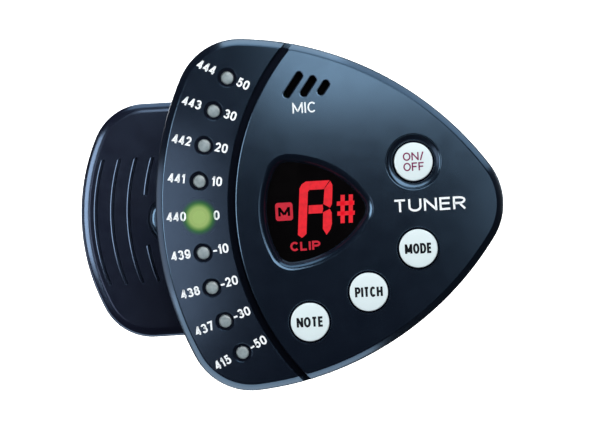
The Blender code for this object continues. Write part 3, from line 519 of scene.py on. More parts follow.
def add_node(tree, kind, inputs, **settings):
    made = tree.nodes.new(kind)
    for name, value in settings.items():
        setattr(made, name, value)
    feed(made, inputs)
    return made


def new_material(name, colour, roughness, metallic=0.0):
    made = bpy.data.materials.new(f"{name}_look")
    made.use_nodes = True
    shader = made.node_tree.nodes["Principled BSDF"]
    feed(shader, {"Base Color": colour, "Roughness": roughness, "Metallic": metallic})
    return made, made.node_tree, shader


def object_place(tree):
    return add_node(tree, "ShaderNodeTexCoord", {}).outputs["Object"]


def noise(tree, size, detail=3.0):
    """Noise whose features are about that many millimetres, in the piece's own space."""
    inputs = {"Vector": object_place(tree), "Scale": 1 / (size * MM), "Detail": detail}
    return add_node(tree, "ShaderNodeTexNoise", inputs).outputs["Fac"]


def remap(tree, value, low, high, to_low=0.0, to_high=1.0, **settings):
    inputs = {"Value": value, "From Min": low, "From Max": high, "To Min": to_low, "To Max": to_high}
    return add_node(tree, "ShaderNodeMapRange", inputs, **settings).outputs["Result"]


def mix_colour(tree, factor, one, two):
    """A mix of two colours, each a plain colour or a node's output."""
    return add_node(tree, "ShaderNodeMix", {0: factor, 6: one, 7: two}, data_type="RGBA").outputs[2]


def patches(tree, size, low, high, one, two):
    """Two tones in soft patches of about that size."""
    return mix_colour(tree, remap(tree, noise(tree, size), low, high), one, two)


def bump(tree, size, depth):
    inputs = {"Strength": 1.0, "Distance": depth * MM, "Height": noise(tree, size, 2.0)}
    return add_node(tree, "ShaderNodeBump", inputs).outputs["Normal"]


def edge_wear(tree, radius):
    """1 on sharp edges, 0 on flats, broken up by noise."""
    bevel = add_node(tree, "ShaderNodeBevel", {"Radius": radius * MM}, samples=4)
    flat = add_node(tree, "ShaderNodeNewGeometry", {})
    normals = {0: bevel.outputs["Normal"], 1: flat.outputs["Normal"]}
    dot = add_node(tree, "ShaderNodeVectorMath", normals, operation="DOT_PRODUCT")
    edge = remap(tree, dot.outputs["Value"], 0.98, 0.8)
    broken = remap(tree, noise(tree, 1.5), 0.35, 0.65, 0.2)
    return add_node(tree, "ShaderNodeMath", {0: edge, 1: broken}, operation="MULTIPLY").outputs["Value"]


def moulded(name, colour, other, worn, roughness, grain=0.25, depth=0.004, spread=0.03, tint=WHITE, ior=1.5):
    """Moulded plastic: two close tones, uneven gloss, a fine grain and edges worn a little lighter."""
    made, tree, shader = new_material(name, colour, roughness)
    tone = patches(tree, 14, 0.35, 0.65, colour, other)
    gloss = remap(tree, noise(tree, 3), 0.3, 0.7, roughness - spread, roughness + spread)
    feed(shader, {"Base Color": mix_colour(tree, edge_wear(tree, 0.18), tone, worn), "Roughness": gloss,
                  "Specular Tint": tint, "IOR": ior, "Normal": bump(tree, grain, depth)})
    return made


def metal(name, colour, roughness):
    """Plated metal with fine marks and a little tarnish."""
    made, tree, shader = new_material(name, colour, roughness, 1.0)
    dull = tuple(0.7 * c for c in colour)
    gloss = remap(tree, noise(tree, 0.3), 0.3, 0.7, roughness - 0.08, roughness + 0.1)
    feed(shader, {"Base Color": patches(tree, 2, 0.45, 0.8, colour, dull), "Roughness": gloss,
                  "Normal": bump(tree, 0.15, 0.003)})
    return made


def ink(name, colour):
    """Screen-printed ink: nearly even, with a slight texture."""
    made, tree, shader = new_material(name, colour, 0.6)
    thin = tuple(0.86 * c for c in colour)
    feed(shader, {"Base Color": patches(tree, 0.2, 0.5, 0.75, colour, thin), "Specular IOR Level": 0.15,
                  "Normal": bump(tree, 0.1, 0.003)})
    return made


def glowing(name, colour):
    """A lit lens or segment, a little uneven."""
    made, tree, shader = new_material(name, tuple(0.03 * c for c in colour), 0.45)
    dim = tuple(0.82 * c for c in colour)
    feed(shader, {"Emission Color": patches(tree, 0.8, 0.4, 0.7, colour, dim), "Emission Strength": 1.0,
                  "Specular IOR Level": 0.2})
    return made


def frosted(name, colour, other):
    """A frosted lamp lens: a cloudy body under a soft gloss."""
    made, tree, shader = new_material(name, colour, 0.3)
    feed(shader, {"Base Color": patches(tree, 0.7, 0.35, 0.65, colour, other), "Subsurface Weight": 0.3,
                  "Subsurface Scale": 1.0, "Subsurface Radius": (0.4 * MM,) * 3,
                  "Normal": bump(tree, 0.3, 0.01)})
    return made


NAVY = moulded("navy_case", (0.0028, 0.0046, 0.0094), (0.0036, 0.0055, 0.0110), WORN_NAVY, 0.19,
               depth=0.0012, spread=0.015, tint=NAVY_SHEEN, ior=1.75)
NAVY_CLIP = moulded("navy_clip", (0.0038, 0.0050, 0.0132), (0.0060, 0.0068, 0.0145), WORN_NAVY, 0.20,
                    depth=0.0012, spread=0.02, tint=CLIP_SHEEN, ior=1.75)
# Painted shade: near-black plastic for the pieces put in gaps and recesses to darken them.
PAINTED_SHADE = moulded("painted_recess_shade", (0.0010, 0.0012, 0.0020), (0.0015, 0.0018, 0.0030), (0.004, 0.005, 0.008),
               0.55, tint=DEEP_SHADE)
KEY_WHITE = moulded("white_key", (0.60, 0.70, 0.72), (0.58, 0.68, 0.70), (0.64, 0.71, 0.73), 0.34,
                    depth=0.002)
# A cloth behind the microphone slots, made near black so that it paints the slots' shade.
SLOT_SHADE_CLOTH = moulded("mic_cloth_shade", (0.0010, 0.0010, 0.0012), (0.0014, 0.0014, 0.0016), (0.002, 0.002, 0.002),
                0.95, tint=CLOTH_SHADE)
BLACK = moulded("black_plastic", (0.012, 0.012, 0.014), (0.018, 0.018, 0.020), (0.05, 0.05, 0.05), 0.5)
RUBBER = moulded("rubber", (0.018, 0.018, 0.020), (0.026, 0.026, 0.028), (0.05, 0.05, 0.05), 0.82,
                 grain=0.4, depth=0.02)
BOARD = moulded("board", (0.015, 0.13, 0.055), (0.02, 0.18, 0.08), (0.2, 0.3, 0.15), 0.4)
CERAMIC = moulded("ceramic", (0.84, 0.82, 0.76), (0.78, 0.75, 0.68), (0.9, 0.9, 0.88), 0.5)
WIRE_RED = moulded("wire_red", (0.55, 0.02, 0.02), (0.62, 0.04, 0.03), (0.7, 0.2, 0.2), 0.4)
WINDOW_GLOSS = moulded("window", (0.0012, 0.001, 0.0012), (0.0016, 0.0012, 0.0016), (0.01, 0.01, 0.015),
                       0.08, depth=0.0002, spread=0.02)
STEEL = metal("steel", (0.60, 0.61, 0.63), 0.28)
BRASS = metal("brass", (0.72, 0.56, 0.28), 0.3)
LAMP = frosted("lamp", (0.26, 0.32, 0.34), (0.18, 0.225, 0.24))
LAMP_LIT = glowing("lamp_lit", (0.34, 0.55, 0.16))
DISPLAY_RED = glowing("display_red", (0.80, 0.009, 0.022))
DISPLAY_DIM_RED = glowing("display_dim_red", (0.56, 0.010, 0.030))
INK_WHITE = ink("ink_white", (0.80, 0.84, 0.86))
INK_BLACK = ink("ink_black", (0.004, 0.006, 0.010))
INK_PURPLE = ink("ink_purple", (0.17, 0.010, 0.075))


# ---- lettering

# Each letter is drawn as the middle lines of its strokes, in a box one unit wide and high. A stroke is a list
# of points and of arcs, and an arc is (middle, radii, start, end) in degrees.
LEFT_STEM = [(0, -0.08), (0, 1.08)]
RIGHT_STEM = [(1, -0.08), (1, 1.08)]
STROKES = {
    "0": [[((0.5, 0.64), (0.5, 0.36), 0, 180), ((0.5, 0.36), (0.5, 0.36), 180, 360), (1, 0.64)]],
    "1": [[(-0.1, 0.72), (0.35, 0.8), (0.8, 1.04)], [(0.8, -0.12), (0.8, 1.12)]],
    "2": [[((0.5, 0.69), (0.46, 0.31), 170, -20), (0.02, 0), (1.06, 0)]],
    "3": [[((0.48, 0.75), (0.44, 0.25), 160, -80), (0.36, 0.52)],
          [(0.36, 0.52), ((0.48, 0.27), (0.5, 0.27), 80, -160)]],
    "4": [[(1.08, 0.24), (0, 0.24), (0.74, 1.04)], [(0.74, -0.08), (0.74, 1.08)]],
    "5": [[(0.95, 1), (0.2, 1), (0.08, 0.5), ((0.46, 0.32), (0.5, 0.32), 125, -160)]],
    "7": [[(-0.06, 1), (1, 1), (0.34, -0.08)]],
    "8": [[((0.5, 0.76), (0.42, 0.24), 0, 360)], [((0.5, 0.27), (0.5, 0.27), 0, 360)]],
    "9": [[((0.5, 0.68), (0.48, 0.32), 0, 360)], [(0.98, 0.68), ((0.48, 0.4), (0.5, 0.4), 0, -150)]],
    "-": [[(-0.35, 0.36), (1.35, 0.36)]],
    "/": [[(0, -0.1), (1, 1.1)]],
    "C": [[((0.5, 0.5), (0.5, 0.5), 42, 318)]],
    "D": [[(0, 0), (0, 1), (0.4, 1), ((0.42, 0.5), (0.58, 0.5), 90, -90), (0, 0), (0, 0.5)]],
    "E": [[(1.05, 0), (0, 0), (0, 1), (1.05, 1)], [(0, 0.52), (0.98, 0.52)]],
    "F": [[(0, -0.08), (0, 1), (1.05, 1)], [(0, 0.5), (0.92, 0.5)]],
    "H": [LEFT_STEM, RIGHT_STEM, [(0, 0.52), (1, 0.52)]],
    "I": [[(0.5, -0.08), (0.5, 1.08)]],
    "L": [[(0, 1.08), (0, 0), (1.05, 0)]],
    "M": [LEFT_STEM, [(0, 1), (0.5, 0.1)], [(0.5, 0.1), (1, 1)], RIGHT_STEM],
    "N": [LEFT_STEM, [(0, 1), (1, 0)], RIGHT_STEM],
    "O": [[((0.5, 0.5), (0.5, 0.5), 0, 360)]],
    "P": [[(0, -0.08), (0, 1), (0.5, 1), ((0.52, 0.73), (0.48, 0.27), 90, -90), (0, 0.46)]],
    "R": [[(0, -0.08), (0, 1), (0.5, 1), ((0.52, 0.74), (0.46, 0.26), 90, -90), (0, 0.48)],
          [(0.5, 0.48), (1.02, -0.08)]],
    "T": [[(-0.04, 1), (1.04, 1)], [(0.5, 1), (0.5, -0.08)]],
    "U": [[(0, 1.08), ((0.5, 0.36), (0.5, 0.36), 180, 360), (1, 1.08)]],
}
DIGIT_WIDTH = 0.63
LETTER_WIDTHS = {"1": 0.4, "-": 0.44, "/": 0.38, "I": 0.2, "M": 0.8, "N": 0.66, "O": 0.7, "C": 0.66,
                 "D": 0.66, "H": 0.66, "U": 0.66, "R": 0.64, "P": 0.62, "T": 0.6, "E": 0.56,
                 "F": 0.54, "L": 0.54}


def stroke_points(parts, box_width, box_height, margin):
    points = []
    for part in parts:
        if isinstance(part[0], tuple):
            (u, v), (ru, rv), start, end = part
            turns = arc((0, 0), 1, radians(start), radians(end), 24)
            points += [(u + ru * x, v + rv * y) for x, y in turns]
        else:
            points.append(part)
    wide, high = box_width - 2 * margin, box_height - 2 * margin
    return [Vector((margin + u * wide, margin + v * high)) for u, v in points]


def add_stroke(bm, points, half, shift):
    """A flat band along the points, with mitred corners."""
    closed = (points[0] - points[-1]).length < 1e-6
    sides = []
    for i, point in enumerate(points):
        before = points[-2] if closed and i == 0 else points[max(i - 1, 0)]
        after = points[1] if closed and i == len(points) - 1 else points[min(i + 1, len(points) - 1)]
        into = (point - before).normalized() if point != before else (after - point).normalized()
        out = (after - point).normalized() if after != point else into
        middle = (into + out).normalized() if (into + out).length > 0.2 else out
        normal = Vector((-middle.y, middle.x))
        reach = half / max(normal.dot(Vector((-into.y, into.x))), 0.55)
        sides.append([bm.verts.new((*(point + side * reach * normal + shift), 0)) for side in (1, -1)])
    for (a, b), (c, d) in zip(sides, sides[1:]):
        bm.faces.new((a, b, d, c))


def letters(text, height, width=None, weight=0.19, spacing=0.10):
    """A flat lettering mesh, centred. Its strokes and the gaps between letters are shares of its height."""
    natural = [LETTER_WIDTHS.get(c, DIGIT_WIDTH) * height for c in text]
    gap = spacing * height
    stretch = (width - gap * (len(text) - 1)) / sum(natural) if width else 1.0
    left = -(sum(natural) * stretch + gap * (len(text) - 1)) / 2
    half = weight * height / 2
    bm = bmesh.new()
    for c, wide in zip(text, natural):
        for parts in STROKES[c]:
            points = stroke_points(parts, wide * stretch, height, half)
            add_stroke(bm, points, half, Vector((left, -height / 2)))
        left += wide * stretch + gap
    return mesh_from("letters", bm)


def polygon(points):
    bm = bmesh.new()
    bm.faces.new([bm.verts.new((x, y, 0)) for x, y in points])
    return mesh_from("polygon", bm)


def printed(name, items, body, material, slot):
    """One flat piece from flat meshes, each given with its place."""
    bm = bmesh.new()
    for mesh, place in items:
        mesh.transform(place)
        bm.from_mesh(mesh)
    finish(new_object(name, mesh_from(name, bm)), body, material, slot)


# ---- the head


def rim_levels(base, top):
    """The head's side wall, its slightly rounded chamfer and the edge of its face."""
    levels = [(pick(-0.12), base), (pick(), base + 0.12)]
    return levels + [(pick(-inset * RIM_WIDTH), top + height * RIM_WIDTH) for inset, height in RIM_EDGE]


def meter_ring(name, inner_r, low, edge):
    """Everything left of the groove: a wide ring about the left side's centre, with a shaped inner edge."""
    outer_r = PICK_SIDE_R + 12
    profile = [(inner_r, low), (outer_r, low), (outer_r, edge[-1][1])]
    profile += [(inner_r + step, height) for step, height in reversed(edge)] + [(inner_r, low)]
    return lathe(name, profile, (PICK_SIDE_AT, 0), 360)


def round_cutter(radius, at, low, high, chamfer):
    """A hole's cutter, with a chamfer at the face."""
    end = high + OVERCUT
    profile = [(0, low), (radius, low), (radius, high - chamfer), (radius + chamfer + OVERCUT, end), (0, end)]
    return lathe("hole", profile, at)


def finish_crowned(cover, face, node):
    crown(cover, face)
    finish(cover, "head", NAVY, "navy_case", [node], None)


def front_cover():
    base, face = bottom_of("front_cover"), top_of("front_cover")
    crescent = bottom_of("meter_cover") - GAP
    ledge = crescent - LEDGE_T
    cover = loft("front_cover_shell", rim_levels(base, face))
    bay = plate("bay", pick(-SIDE_WALL - 0.2), ledge - OVERCUT, face - 2)
    combine(bay, [disc("right_of_ledge", GROOVE_R - 2.2, 0, face, (PICK_SIDE_AT, 0), 180)], "INTERSECT")
    edge = [(step, face + height) for step, height in GROOVE_EDGE]
    groove = meter_ring("groove", GROOVE_R - GROOVE_WIDTH / 2, crescent, edge)
    combine(cover, [plate("low_bay", pick(-SIDE_WALL), base - OVERCUT, ledge), bay, groove])
    tools = [loft("window_cut", [(window(grow), face + height) for grow, height in WINDOW_EDGE])]
    pocket_top = top_of("display_window") + GAP
    tools.append(plate("window_pocket", window(WINDOW_LAP + 0.2), pocket_top - 3, pocket_top))
    for key in KEYS:
        tools.append(round_cutter(KEY_HOLE_R, bench_middle(f"{key}_cap"), face - 4, face, 0.12))
    dish = [(radius, face - depth) for radius, depth in DISH_EDGE]
    dish = [(0, dish[0][1])] + dish + [(0, dish[-1][1])]
    tools.append(lathe("dish", dish, bench_middle("on_off_cap")))
    for i, half in enumerate(SLOT_HALF_LENGTHS):
        slot = loft("slot", [(stadium(half, SLOT_R + grow), face + height) for grow, height in SLOT_EDGE])
        tools.append(moved(slot, bench_middle("microphone") + (i - 1) * SLOT_PITCH, SLOT_TILT))
    combine(cover, tools)
    finish_crowned(cover, face, "front_cover")


def meter_cover():
    low, high = bench_box("meter_cover")
    cover = loft("meter_cover_shell", rim_levels(low.z, high.z))
    edge = [(0, high.z - 0.14), (0.14, high.z), (0.14, high.z + OVERCUT)]
    combine(cover, [meter_ring("keep", GROOVE_R + GROOVE_WIDTH / 2, low.z - OVERCUT, edge)], "INTERSECT")
    places = [bench_middle(lamp) for lamp in LAMPS]
    combine(cover, [round_cutter(LAMP_HOLE_R, at, low.z - OVERCUT, high.z, 0.16) for at in places])
    finish_crowned(cover, high.z, "meter_cover")


def groove_shade_strip():
    """Painted shade: a near-black strip along the bottom of the groove, which follows the crowned face."""
    floor = bottom_of("meter_cover")
    inner, outer = GROOVE_R - GROOVE_WIDTH / 2 + 0.06, GROOVE_R + GROOVE_WIDTH / 2 - 0.06
    top = floor + 0.12
    band = [(inner, floor), (outer, floor), (outer, top), (inner, top), (inner, floor)]
    strip = lathe("groove_shade_strip", band, (PICK_SIDE_AT, 0), 360)
    combine(strip, [plate("inside", pick(-0.9), 0, floor + OVERCUT)], "INTERSECT")
    for vert in strip.data.vertices:
        vert.co.z -= crown_drop(vert.co.x, vert.co.y)
    finish(strip, "head", PAINTED_SHADE, "black_plastic")


def shade_rings(name, cover, places, inner, outer, height, steps):
    """Painted shade: near-black rings in the gaps round lamps or keys. A place is a node and its ring's depth
    below the face.
    """
    bm = bmesh.new()
    for node, sink in places:
        at = bench_middle(node)
        top = crowned_top(cover, at) - sink
        wall = [(inner, top), (outer, top), (outer, top - height), (inner, top - height), (inner, top)]
        ring = lathe("ring", wall, at, steps)
        bm.from_mesh(ring.data)
        bpy.data.objects.remove(ring, do_unlink=True)
    finish(solid(name, bm), "head", PAINTED_SHADE, "black_plastic")


def painted_gap_shade():
    """Painted shade in the gaps: the groove's near-black strip, near-black rings round lamps and keys, and a
    near-black cloth behind the slots.
    """
    groove_shade_strip()
    lamps = [(lamp, 0.35) for lamp in LAMPS]
    shade_rings("lamp_shade_rings", "meter_cover", lamps, LAMP_R + 0.03, LAMP_HOLE_R - 0.02, 0.4, 40)
    caps = [(f"{key}_cap", 0.3 + (DISH_DEPTH if key == "on_off" else 0)) for key in KEYS]
    shade_rings("key_shade_rings", "front_cover", caps, KEY_R + 0.03, KEY_HOLE_R - 0.02, 0.3, ROUND)
    # A cloth over the microphone, made near black so that it also paints the shade inside the slots.
    low, high = bench_box("mic_gasket")
    cloth = disc("mic_cloth_shade", (high.x - low.x) / 2, high.z + 0.02, high.z + 0.1, bench_middle("mic_gasket"))
    finish(cloth, "head", SLOT_SHADE_CLOTH, "black_plastic")


def meter_lamps():
    edge = ((0, 0), (0.5, -0.02), (0.86, -0.07), (0.95, -0.14), (0.99, -0.24))
    dome = [(share * LAMP_R, rise) for share, rise in edge]
    flange = ((LAMP_R, 0.9), (LAMP_R + 0.25, 0.9), (LAMP_R + 0.25, 0), (0, 0))
    for i, node in enumerate(LAMPS, 1):
        at = bench_middle(node)
        profile = spindle(crowned_top(node, at), dome, bottom_of(node), flange)
        lens = lathe(f"lamp_lens_{i}", profile, at, 40)
        material, slot = (LAMP_LIT, "lamp_lit") if node == LIT_LAMP else (LAMP, "lamp")
        finish(lens, "head", material, slot, [node], 50)


def lamp_glow():
    """The lit lamp's painted glow: a soft light painted on a thin film over the face, which fades to nothing.
    """
    lit = bench_middle(LIT_LAMP)
    face = top_of("meter_cover")
    made, tree, shader = new_material("lamp_glow", (0.0, 0.0, 0.0), 0.6)
    centre = STAND @ Vector((lit.x, lit.y, crowned_top("meter_cover", lit)))
    gap = add_node(tree, "ShaderNodeVectorMath", {0: object_place(tree), 1: centre}, operation="DISTANCE")
    away, reach = gap.outputs["Value"], GLOW_R * MM
    tone = remap(tree, away, 0.46 * reach, 0.72 * reach)
    fade = remap(tree, away, 0.95 * reach, 0.45 * reach, 0.0, 0.94, interpolation_type="SMOOTHSTEP")
    feed(shader, {"Emission Color": mix_colour(tree, tone, (0.34, 0.50, 0.17), (0.06, 0.26, 0.05)),
                  "Emission Strength": 1.0, "Specular IOR Level": 0.0, "Alpha": fade})
    spot = polygon(circle((0, 0), GLOW_R, 48))
    printed("lamp_glow", [(spot, on_face(lit.x, lit.y, face + 0.008))], "head", made, "lamp_lit")


def meter_numbers():
    face = top_of("meter_cover") + INK_LIFT
    items = []
    for node, pitch_text, cent_text in zip(LAMPS, PITCH_NUMBERS, CENT_NUMBERS):
        lamp = bench_middle(node)
        turn = NUMBERS_LEAN - NUMBERS_FAN * atan2(lamp.y, PICK_SIDE_AT - lamp.x)
        for text, along in ((pitch_text, PITCH_NUMBERS_AT), (cent_text, CENT_NUMBERS_AT)):
            x, y = lamp.x + along * cos(turn), lamp.y + along * sin(turn) + NUMBERS_RISE
            items.append((letters(text, NUMBER_HEIGHT), on_face(x, y, face, turn)))
    printed("print_numbers", items, "head", INK_WHITE, "white_key")


def face_print():
    face = top_of("front_cover") + INK_LIFT
    mic = bench_middle("microphone")
    mic_word = (letters("MIC", 1.84, 4.1, 0.135), on_face(mic.x - 0.85, mic.y - 3.6, face))
    printed("print_mic", [mic_word], "head", INK_WHITE, "white_key")
    tuner_word = (letters("TUNER", 2.2, 12.4, 0.165, 0.19), on_face(20.6, 0, face))
    printed("print_tuner", [tuner_word], "head", INK_WHITE, "white_key")


def display():
    top = top_of("display_window")
    glass = plate("display_glass", window(WINDOW_LAP), bottom_of("display_window"), top)
    finish(glass, "head", WINDOW_GLOSS, "smoked_window", ["display_window"])
    place = Matrix.Translation((0, 0, top + 0.004))
    letter, small = display_marks()
    printed("display_letter", [(mesh, place) for mesh in letter], "head", DISPLAY_RED, "lamp_lit")
    printed("display_small_marks", [(mesh, place) for mesh in small], "head", DISPLAY_DIM_RED, "lamp_lit")
    badge = (letters("M", 1.75, 2.05, 0.24), Matrix.Translation((-4.48, 0.12, top + 0.012)))
    printed("display_badge_letter", [badge], "head", WINDOW_GLOSS, "smoked_window")


def segments():
    """The four segments of the display's slanted letter: left with top, right, middle and lower right."""
    stroke, lean = 1.48, 0.09
    left, right = -1.95, 3.75
    top, low, bar = 5.1, -4.35, 0.25
    inner, outer = left + stroke, right - stroke
    shapes = (
        ((left, low + 0.35), (left + 0.75, low - 0.2), (inner, low + 0.45), (inner, top - stroke - 0.3),
         (inner + 0.25, top - stroke), (outer - 0.02, top - stroke), (right - 0.55, top), (left + 1.05, top),
         (left + 0.35, top - 0.45), (left, top - 1.15)),
        ((outer + 0.1, top - stroke + 0.06), (right - 0.43, top - 0.12), (right - 0.05, top - 0.8),
         (right, top - 1.5), (right, bar + 0.75), (right - 0.3, bar + 0.12), (outer, bar + 0.8)),
        ((inner + 0.22, bar - 0.72), (outer - 0.12, bar - 0.72), (outer - 0.02, bar),
         (outer - 0.12, bar + 0.72), (inner + 0.22, bar + 0.72)),
        ((outer, bar - 0.6), (right - 0.35, bar - 0.06), (right, bar - 0.7), (right + 0.12, bar - 2.6),
         (right - 0.1, bar - 3.6), (right - 0.75, low + 0.1), (outer + 0.05, low + 1.2)),
    )
    return [polygon([(x + lean * (y - 0.3), y) for x, y in shape]) for shape in shapes]


def display_marks():
    """The display's letter with its sharp sign, and the smaller marks: a box for a mode letter and a word."""
    upright = ((-0.50, -2.4), (0.22, -2.4), (0.50, 2.45), (-0.22, 2.45))
    sharp = [polygon([(x + px, py) for px, py in upright]) for x in (5.6, 7.0)]
    bar = ((4.62, -0.36), (7.62, -0.36), (7.68, 0.36), (4.68, 0.36))
    sharp += [polygon([(px, y + py) for px, py in bar]) for y in (-0.72, 1.0)]
    box = polygon([(x - 4.48, y + 0.13) for x, y in rounded_box(3.0, 3.1, 0.5)])
    word = letters("CLIP", 1.6, 5.2, 0.22)
    word.transform(Matrix.Translation((-1.15, -5.95, 0)))
    return segments() + sharp, [box, word]


def key_print(key):
    """The words on a key, each with its height above the key's middle, and their ink."""
    if key == "on_off":
        lines = (("ON/", 0.92), ("OFF", -0.85))
        return [(letters(text, 1.45, 3.6, 0.165), y) for text, y in lines], INK_PURPLE
    widths = {"mode": 4.68, "pitch": 4.78, "note": 4.64}
    return [(letters(key.upper(), 1.8, widths[key], 0.215, 0.06), 0)], INK_BLACK


def keys():
    edge = 0.16
    tip = [(0, 0), (0.6 * KEY_R, -0.02)]
    tip += [(x, y - 0.05 - edge) for x, y in reversed(arc((KEY_R - edge, 0), edge, 0, pi / 2, 5))]
    foot = ((KEY_R, 0.8), (KEY_FLANGE_R, 0.8), (KEY_FLANGE_R, 0), (0, 0))
    for key in KEYS:
        node, body = f"{key}_cap", f"{key}_button"
        at = bench_middle(node)
        top = crowned_top(node, at)
        cap = lathe(f"{key}_key", spindle(top, tip, bottom_of(node), foot), at)
        finish(cap, body, KEY_WHITE, "white_key", [node], 40)
        words, colour = key_print(key)
        items = [(mesh, Matrix.Translation((at.x, at.y + y, top + 0.002))) for mesh, y in words]
        printed(f"print_{key}", items, body, colour, "black_plastic")


def rear_cover():
    top = top_of("rear_cover")
    back = bottom_of("battery_door")
    levels = [(pick(x), back + BACK_ROUND + y) for x, y in arc((-BACK_ROUND, 0), BACK_ROUND, -pi / 2, 0, 8)]
    cover = loft("rear_cover_shell", levels + [(pick(), top - 0.12), (pick(-0.12), top)])
    pin = bench_middle("tilt_pin")
    knuckle = arc((0, 0), KNUCKLE_R, pi, tau, 28)
    knuckle += [(KNUCKLE_R, back + OVERCUT - pin.z), (-KNUCKLE_R, back + OVERCUT - pin.z)]
    ear_y = bench_box("tilt_pin")[1].y - EAR_WIDTH / 2
    ears = [side_plate("ear", knuckle, (pin.x, y, pin.z), EAR_WIDTH) for y in (ear_y, -ear_y)]
    combine(cover, ears, "UNION")
    floor = back + BACK_WALL
    door = bench_middle("battery_door")
    entries = plate("entries", rounded_box(2 * DOOR_TAB_R + 0.6, 6.6, 1), back - OVERCUT, floor + OVERCUT)
    tools = [plate("bay", pick(-SIDE_WALL - 0.6), floor, top + OVERCUT),
             disc("door_hole", DOOR_HOLE_R, back - OVERCUT, floor + OVERCUT, door),
             moved(entries, door, -DOOR_TURN)]
    seat = spindle(back, ((0, 1.5), (2.0, 1.5), (2.0, 0.15)), back - OVERCUT, ((3.2, 0), (0, 0)))
    tools += [lathe("seat", seat, bench_middle(f"case_screw_{i}"), 40) for i in (1, 2, 3)]
    tools.append(bore(HINGE_BORE_R, 8, pin, 32))
    combine(cover, tools)
    finish(cover, "head", NAVY, "navy_case", ["rear_cover"], 28)
    door_marks(door, back)


def door_marks(door, back):
    """Raised dots for shut and open beside the battery door, and an arc with an arrow head between them."""
    radius, half_width, half_head = 14.6, 0.14, 0.65
    start = radians(158)
    end = start - DOOR_TURN
    span = (start - radians(5), end + radians(9))
    head = [polar(radius, end + radians(4.5))]
    head += [polar(radius + side, span[1]) for side in (half_head, -half_head)]
    band = arc((0, 0), radius + half_width, *span, 30) + arc((0, 0), radius - half_width, *reversed(span), 30)
    dots = [circle(polar(radius, angle), 0.55, 24) for angle in (start, end)]
    flip = Matrix.Translation((door.x, door.y, back)) @ Matrix.Rotation(pi, 4, "X")
    items = [(polygon(outline), flip) for outline in (*dots, band, head)]
    printed("door_marks", items, "head", NAVY_CLIP, "navy_case")


def battery_door():
    door = bench_middle("battery_door")
    back, ring_top = bottom_of("battery_door"), top_of("battery_door")
    inner = DOOR_RING_R
    profile = [(0, back + 1.2), (inner, back + 1.2), (inner, ring_top), (DOOR_R, ring_top)]
    profile += [(DOOR_R - inset, back + rise) for inset, rise in DOOR_FACE] + [(0, back)]
    cover = lathe("battery_door_cap", profile, door, 96)
    tab_low = back + BACK_WALL + 0.2
    tabs = moved(plate("tabs", rounded_box(2 * DOOR_TAB_R, 5.6, 0.8), tab_low, tab_low + 1), door)
    combine(tabs, [disc("bore", inner + 0.25, back, ring_top + OVERCUT, door)])
    combine(cover, [tabs], "UNION")
    slot = [(5.9, 1.4, -0.3), (5.6, 0.9, 0.2), (5.6, 0.9, 0.6)]
    combine(cover, [moved(loft("slot", [(stadium(half, r), back + rise) for half, r, rise in slot]), door)])
    finish(cover, "battery_door", NAVY, "navy_case", ["battery_door"], 28)


def cross_screw(node, body, tip, foot, arm):
    """A turned screw with a cross recess in the end that faces the back."""
    low, high = bench_box(node)
    at = bench_middle(node)
    screw = lathe(f"{node}_turned", spindle(high.z, tip, low.z, foot), at, 40)
    mouth, end = rounded_box(arm, 0.55, 0.1, 3), rounded_box(0.55 * arm, 0.45, 0.1, 3)
    recess = [(mouth, low.z - 0.3), (end, low.z + 0.7)]
    combine(screw, [moved(loft("recess", recess), at, turn) for turn in (0, pi / 2)])
    finish(screw, body, STEEL, "steel", [node])


def turned_pin(node, body, at, tip, foot, ring=False):
    low, high = bench_box(node)
    profile = spindle(high.y, tip, low.y, foot)
    pin = lathe(f"{node}_turned", profile + profile[:1] if ring else profile, at, 48, True)
    finish(pin, body, STEEL, "steel", [node])


def screws_and_pins():
    for i in (1, 2, 3):
        cross_screw(f"case_screw_{i}", "head", ((0, 0), (0.4, 0), (0.95, -1.2)),
                    ((0.95, 1.0), (1.8, 1.0), (1.8, 0.4), (1.6, 0.15), (1.2, 0), (0, 0)), 2.3)
    cross_screw("swivel_screw", "swivel", ((0, 0), (0.95, 0), (1.25, -0.3)),
                ((1.25, 1.3), (2.4, 1.3), (2.4, 0.5), (2.1, 0.16), (1.6, 0), (0, 0)), 2.7)
    turned_pin("tilt_pin", "head", bench_middle("tilt_pin"), ((0, 0), (0.85, 0), (1.0, -0.15)),
               ((1.0, 0.15), (0.85, 0), (0, 0)))
    hinge = bench_middle("pin_retainer")
    turned_pin("hinge_pin", "clip_front", hinge, ((0, 0), (1.0, 0), (1.25, -0.3)),
               ((1.25, 0.8), (2.1, 0.8), (2.1, 0.3), (1.9, 0.08), (1.6, 0), (0, 0)))
    turned_pin("pin_retainer", "clip_front", hinge, ((1.3, 0), (2.1, 0), (2.2, -0.1)),
               ((2.2, 0), (1.3, 0)), ring=True)


# ---- swivel and clip


def swivel_arm():
    base = bottom_of("swivel_arm")
    at = bench_middle("swivel_arm")
    pin = bench_middle("tilt_pin")
    edge = ((BOSS_R, 0), (0.95, 0), (0.7, 0.06), (0.25, 0.26), (0.06, 0.5), (0, 0.75))
    profile = [(BOSS_R - inset, base + BOSS_T - drop) for inset, drop in edge]
    arm = lathe("swivel_boss", profile + [(BOSS_R, base), (0, base)], at, 96)
    foot = base + 1.0 - pin.z
    outline = arc((0, 0), KNUCKLE_R, 0, pi, 28) + [(-KNUCKLE_R, foot), (KNUCKLE_R, foot)]
    combine(arm, [side_plate("neck", outline, (pin.x, 0, pin.z), NECK_WIDTH)], "UNION")
    combine(arm, [bore(HINGE_BORE_R, 8, pin, 32), disc("screw_way", SCREW_WAY_R, 0, SCREW_WAY_TOP, at, 32)])
    finish(arm, "swivel", NAVY, "navy_clip", ["swivel_arm"], 30)


